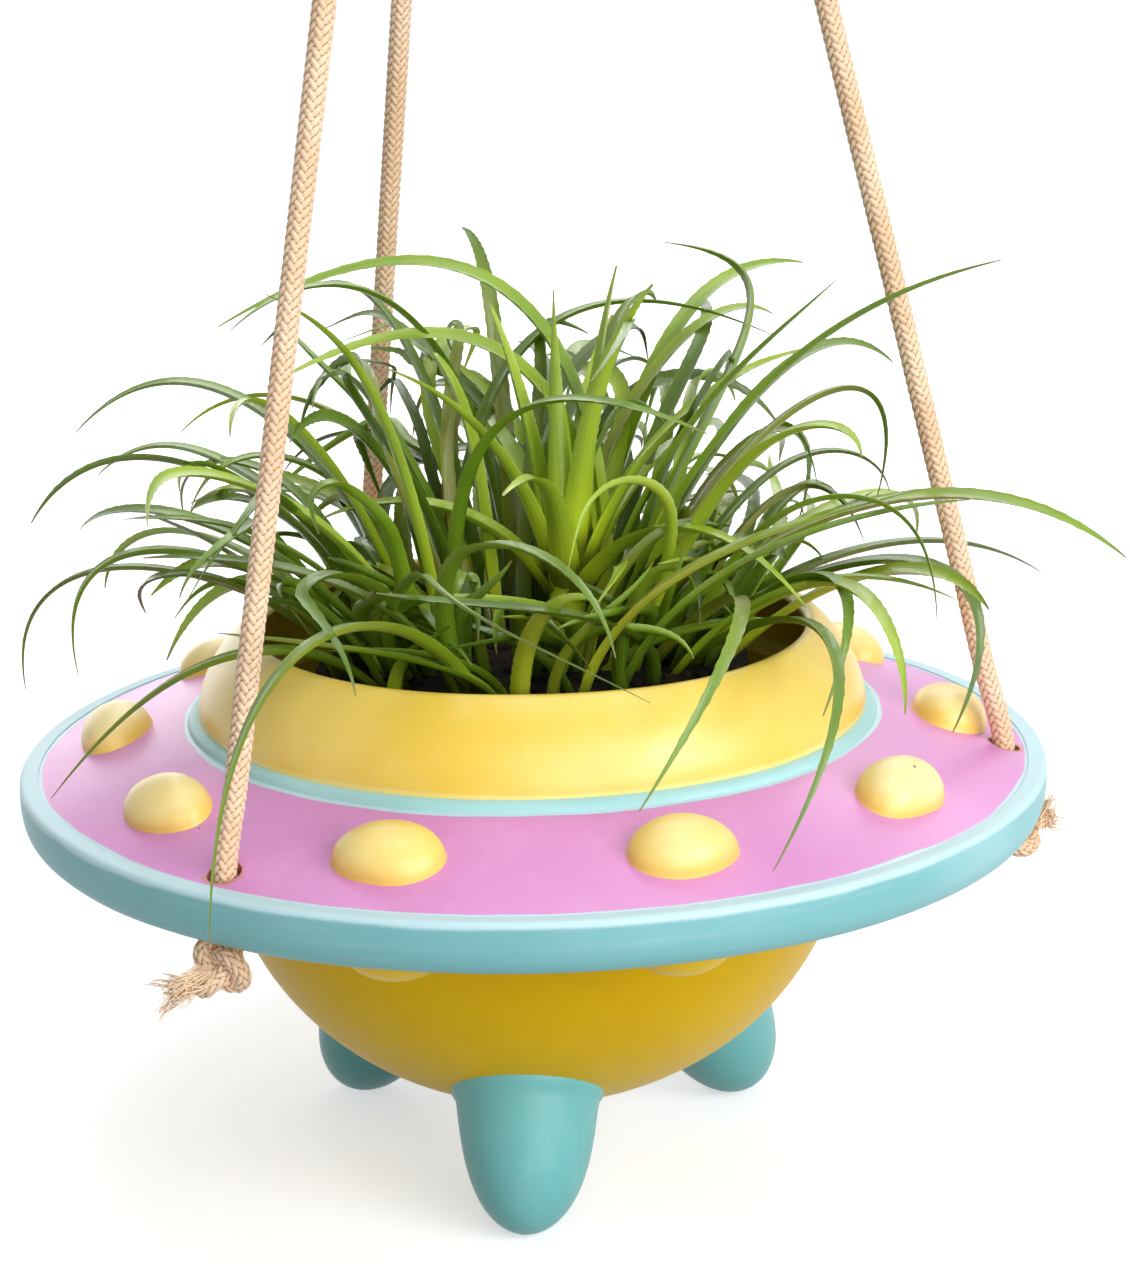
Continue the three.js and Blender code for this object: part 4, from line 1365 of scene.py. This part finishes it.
filling = dict(count=46, broad=(0.55, 0.95), sway=9.0 * mm)
lowLeaves = dict(  # short ones that stay inside the mouth
    count=60, broad=(0.6, 1.0), sway=3.0 * mm, spread=140, reach=(0.4, 0.54),
)
fringe = dict(count=30, broad=(0.6, 0.95), sway=3.0 * mm, gap=50)  # round the crown's edge, over the lip


def shootLine(i, count):
    share = i / (shoot["leaves"] - 1)
    turn = shoot["turn"] * i + shoot["start"]
    lean = math.radians(shoot["lean"][0] + (shoot["lean"][1] - shoot["lean"][0]) * share)
    length = shoot["length"] * (1 - 0.12 * math.sin(2.3 * i) + 0.16 * min(0, i))
    foot = polar(turn, 0.6 * shoot["stem"], tuft["crownFoot"] + shoot["height"] * (1 - 0.4 * max(0, share)))
    foot.x += shoot["offset"]
    points = [foot]
    for part, bow, swing in ((0.4, 0.45, 0), (0.75, 0.8, 0), (1, 1.15, 14 * math.sin(4.1 * i))):
        out, up = (part * length * wave(bow * lean) for wave in (math.sin, math.cos))
        points.append(foot + polar(turn + swing, out, up))
    return interpolate_bezier(*points, count)


def fillingShape(rng):
    root = rng.uniform(0.2, 0.85)
    arch = 0.36 + 0.5 * root + rng.uniform(-0.1, 0.16)
    turn = clearOfRopes(tuft["frontTurn"] + rng.uniform(tuft["frontGap"], 360 - tuft["frontGap"]))
    climb = 0.72 - 0.42 * root + rng.uniform(-0.06, 0.1)
    reach = arch + rng.uniform(-0.12, 0.2)
    tip = 0.62 - 0.6 * root + rng.uniform(-0.12, 0.12)
    return turn, root, climb, arch, reach, tip, rng.uniform(-65, 65)


def lowShape(rng):
    turn = tuft["frontTurn"] + rng.uniform(-1, 1) * lowLeaves["spread"]
    root = rng.uniform(0.3, 0.95)
    reach = rng.uniform(*lowLeaves["reach"])
    return (turn, root, rng.uniform(0.12, 0.34), 0.94 * reach, reach,
            rng.uniform(0.0, 0.24), rng.uniform(-70, 70))


def fringeShape(rng):
    turn = clearOfRopes(tuft["frontTurn"] + rng.uniform(fringe["gap"], 360 - fringe["gap"]))
    arch = rng.uniform(0.56, 0.7)
    return (turn, rng.uniform(0.8, 0.98), rng.uniform(0.2, 0.36), arch, arch + rng.uniform(0.02, 0.14),
            rng.uniform(0.06, 0.3), clearBend(turn, rng.uniform(-50, 50)))


def divisionOf(shape):
    turn, root = shape[:2]
    if root < tuft["heartShare"]:
        return "heart"
    share = 360 / len(tuft["divisions"])
    return tuft["divisions"][int((turn - tuft["divisionTurn"]) % 360 // share)]


leafLayers = ("tone", "warm", "along", "across")
leafLook = dict(
    dark=shade(56, 84, 10),
    mid=shade(108, 144, 22),
    light=shade(158, 184, 48),
    lime=shade(198, 216, 36),
    edge=shade(178, 194, 100),
    olive=shade(146, 142, 40),
    dry=shade(120, 104, 50),
    # root: painted shade at the foot of each blade, where it goes into the mix
    root=shade(24, 34, 8),
)


def leafFinish():
    finish = Finish("leaf", leafLook["dark"], Coat_Weight=0.5, Coat_Roughness=0.2, Specular_IOR_Level=0.4)
    tone, warm, along, across = (finish.attribute(name) for name in leafLayers)
    patch = finish.noise(60.0)
    wave = finish.add("ShaderNodeMath", {"operation": "SINE"}, {0: across * 24.0 + patch * 4.0})
    veins = wave * 0.5 + 0.5
    aged = finish.ramp(warm, 0.7, 0.95) * finish.ramp(along, 0.9, 0.2)
    fresh = finish.ramp(along, 0.34, 0.02) * finish.ramp(tone, 0.35, 1.0)
    for name, factor in (
        ("mid", finish.ramp(tone * 0.7 + patch * 0.4, 0.15, 0.8)),
        ("light", finish.ramp(tone + patch * 0.4, 0.8, 1.25)),
        ("light", veins * 0.14),
        ("edge", finish.ramp(across * across, 0.9, 1.0) * 0.55),
        ("olive", aged * 0.7),
        ("lime", fresh * 0.85),
        ("dry", finish.ramp(along + patch * 0.05, 0.97, 1.02) * 0.6),
        # painted shade: dark at the foot of each blade
        ("root", finish.ramp(along, 0.13, 0.03) * 0.8),
    ):
        finish.over(factor, leafLook[name])
    finish.bump(veins, 0.1 * mm, 0.3)
    return finish.done(Roughness=0.34 + patch * 0.2)


def plantLeaves(rng):  # lines of all leaves by division, each with its breadth, tone and taper
    rows = blade["rows"] + 1
    groups = {name: [] for name in ("heart", *tuft["divisions"])}
    for i, shape in enumerate(leafShapes()):
        line = swayed(leafLine(shape, rows), rng, tuft["sways"][i < len(chosenLeaves)])
        broad, tone = rng.uniform(0.75, 1.02), rng.uniform(0.15, 1.0)
        groups[divisionOf(shape)].append((line, broad, tone, blade["taper"]))
    for shape in arcs:
        groups[divisionOf(shape)].append((leafLine(shape, rows), 0.85, rng.uniform(0.3, 0.9), blade["taper"]))
    for kind, make in ((filling, fillingShape), (lowLeaves, lowShape), (fringe, fringeShape)):
        for _ in range(kind["count"]):
            shape = make(rng)
            line = swayed(leafLine(shape, rows), rng, kind["sway"])
            broad, tone = rng.uniform(*kind["broad"]), rng.random()
            groups[divisionOf(shape)].append((line, broad, tone, blade["taper"]))
    for i in range(-shoot["inner"], shoot["leaves"]):
        groups["heart"].append((shootLine(i, rows), shoot["broad"], 1.0, shoot["taper"]))
    return groups


def stemInto(bm, layers):
    made = bmesh.ops.create_cone(bm, cap_ends=True, segments=24, radius1=0.8 * shoot["stem"],
                                 radius2=shoot["stem"], depth=shoot["height"])["verts"]
    bmesh.ops.translate(bm, verts=made, vec=(shoot["offset"], 0, tuft["crownFoot"] + 0.5 * shoot["height"]))
    for vert in made:
        vert[layers["tone"]] = 1.0
        vert[layers["along"]] = 0.15


def makeLeaves():
    rng = random.Random(tuft["seed"])
    material = leafFinish()
    for name, leaves in plantLeaves(rng).items():
        bm = bmesh.new()
        layers = {key: bm.verts.layers.float.new(key) for key in leafLayers}
        for line, *look in leaves:
            leafInto(bm, layers, pastRopes(line), rng, *look)
        if name == "heart":
            stemInto(bm, layers)
        closeEnds(bm)
        settle(f"blades_{name}", bm, material, "leaf", f"leaves_{name}", "plant", sharp=55)


makeLeaves()
print("leaves grown")


# Floor, lamps and background

studio = dict(
    floorGap=0.6 * mm,
    floorSize=6.0,
    floorTint=(0.78, 0.8, 0.84, 1),
    bounce=(0.4, 0.4, 0.4, 1),  # what the floor gives back to the object
    glow=(0.52, 0.85),  # near the object and far from it
    shadowReach=(0.2, 0.75),
    sky=0.22,
)


def floorFinish():  # pale from above with the object's shadow, and clear from below
    finish = Finish("floor")
    finish.tree.nodes.remove(finish.shader)
    away = finish.ramp(finish.fromAxis(), *studio["shadowReach"])
    near, far = studio["glow"]
    lit = finish.add("ShaderNodeEmission", sockets={"Strength": near + away * (far - near)})
    shadowed = finish.add("ShaderNodeBsdfDiffuse", sockets={"Color": studio["floorTint"]})
    seen = finish.add("ShaderNodeAddShader", sockets={0: shadowed, 1: lit})
    bounce = finish.add("ShaderNodeBsdfDiffuse", sockets={"Color": studio["bounce"]})
    above = finish.mixShaders(finish.looking(), bounce, seen)
    under = finish.add("ShaderNodeNewGeometry", out="Backfacing")
    whole = finish.mixShaders(under, above, finish.add("ShaderNodeBsdfTransparent"))
    finish.feed(finish.tree.nodes["Material Output"].inputs["Surface"], whole)
    return finish.material


def makeFloor():
    bm = bmesh.new()
    bmesh.ops.create_grid(bm, x_segments=1, y_segments=1, size=studio["floorSize"])
    bmesh.ops.translate(bm, verts=bm.verts, vec=(0, 0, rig.box("foot_1")[0].z - studio["floorGap"]))
    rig.stage(objectFrom("floor", bm, floorFinish()))


def makeWorld():
    world = bpy.data.worlds.new("studio")
    bpy.context.scene.world = world
    world.use_nodes = True
    nodes = Nodes(world.node_tree)
    sky, white = (nodes.add("ShaderNodeBackground", sockets={"Color": (1, 1, 1, 1), "Strength": strength})
                  for strength in (studio["sky"], 1.0))
    seen = nodes.mixShaders(nodes.looking(), sky, white)
    nodes.feed(nodes.tree.nodes["World Output"].inputs["Surface"], seen)


lamps = (  # name, place from the brim, size, watts
    ("key", (1.1, -0.95, 0.6), 0.9, 16.0),
    ("fill", (-1.3, -0.7, 0.6), 1.0, 1.2),
    ("front", (0.5, -1.5, -0.05), 0.9, 9.0),
    ("brow", (0.25, -1.3, 0.72), 0.9, 5.5),
    ("top", (0.1, -0.1, 1.6), 0.9, 7.0),
    ("back", (0.1, 1.0, 1.05), 1.0, 8.5),
    ("rear", (-0.6, 1.4, 0.1), 1.0, 5.0),
)


def makeLamps():
    target = Vector((0, 0, edgeLevel))
    for name, place, size, watts in lamps:
        data = bpy.data.lights.new(name, "AREA")
        data.size = size
        data.energy = watts
        lamp = linked(name, data)
        lamp.location = target + Vector(place)
        lamp.rotation_euler = (-Vector(place)).to_track_quat("-Z", "Y").to_euler()


makeFloor()
makeWorld()
makeLamps()
bpy.context.scene.view_settings.view_transform = "Standard"
print("studio set")

boxes = {"cad": [list(corner) for corner in cadBox], "visual": [list(corner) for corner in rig.bounds()]}
with open("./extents.json", "w") as sizes:
    json.dump(boxes, sizes)
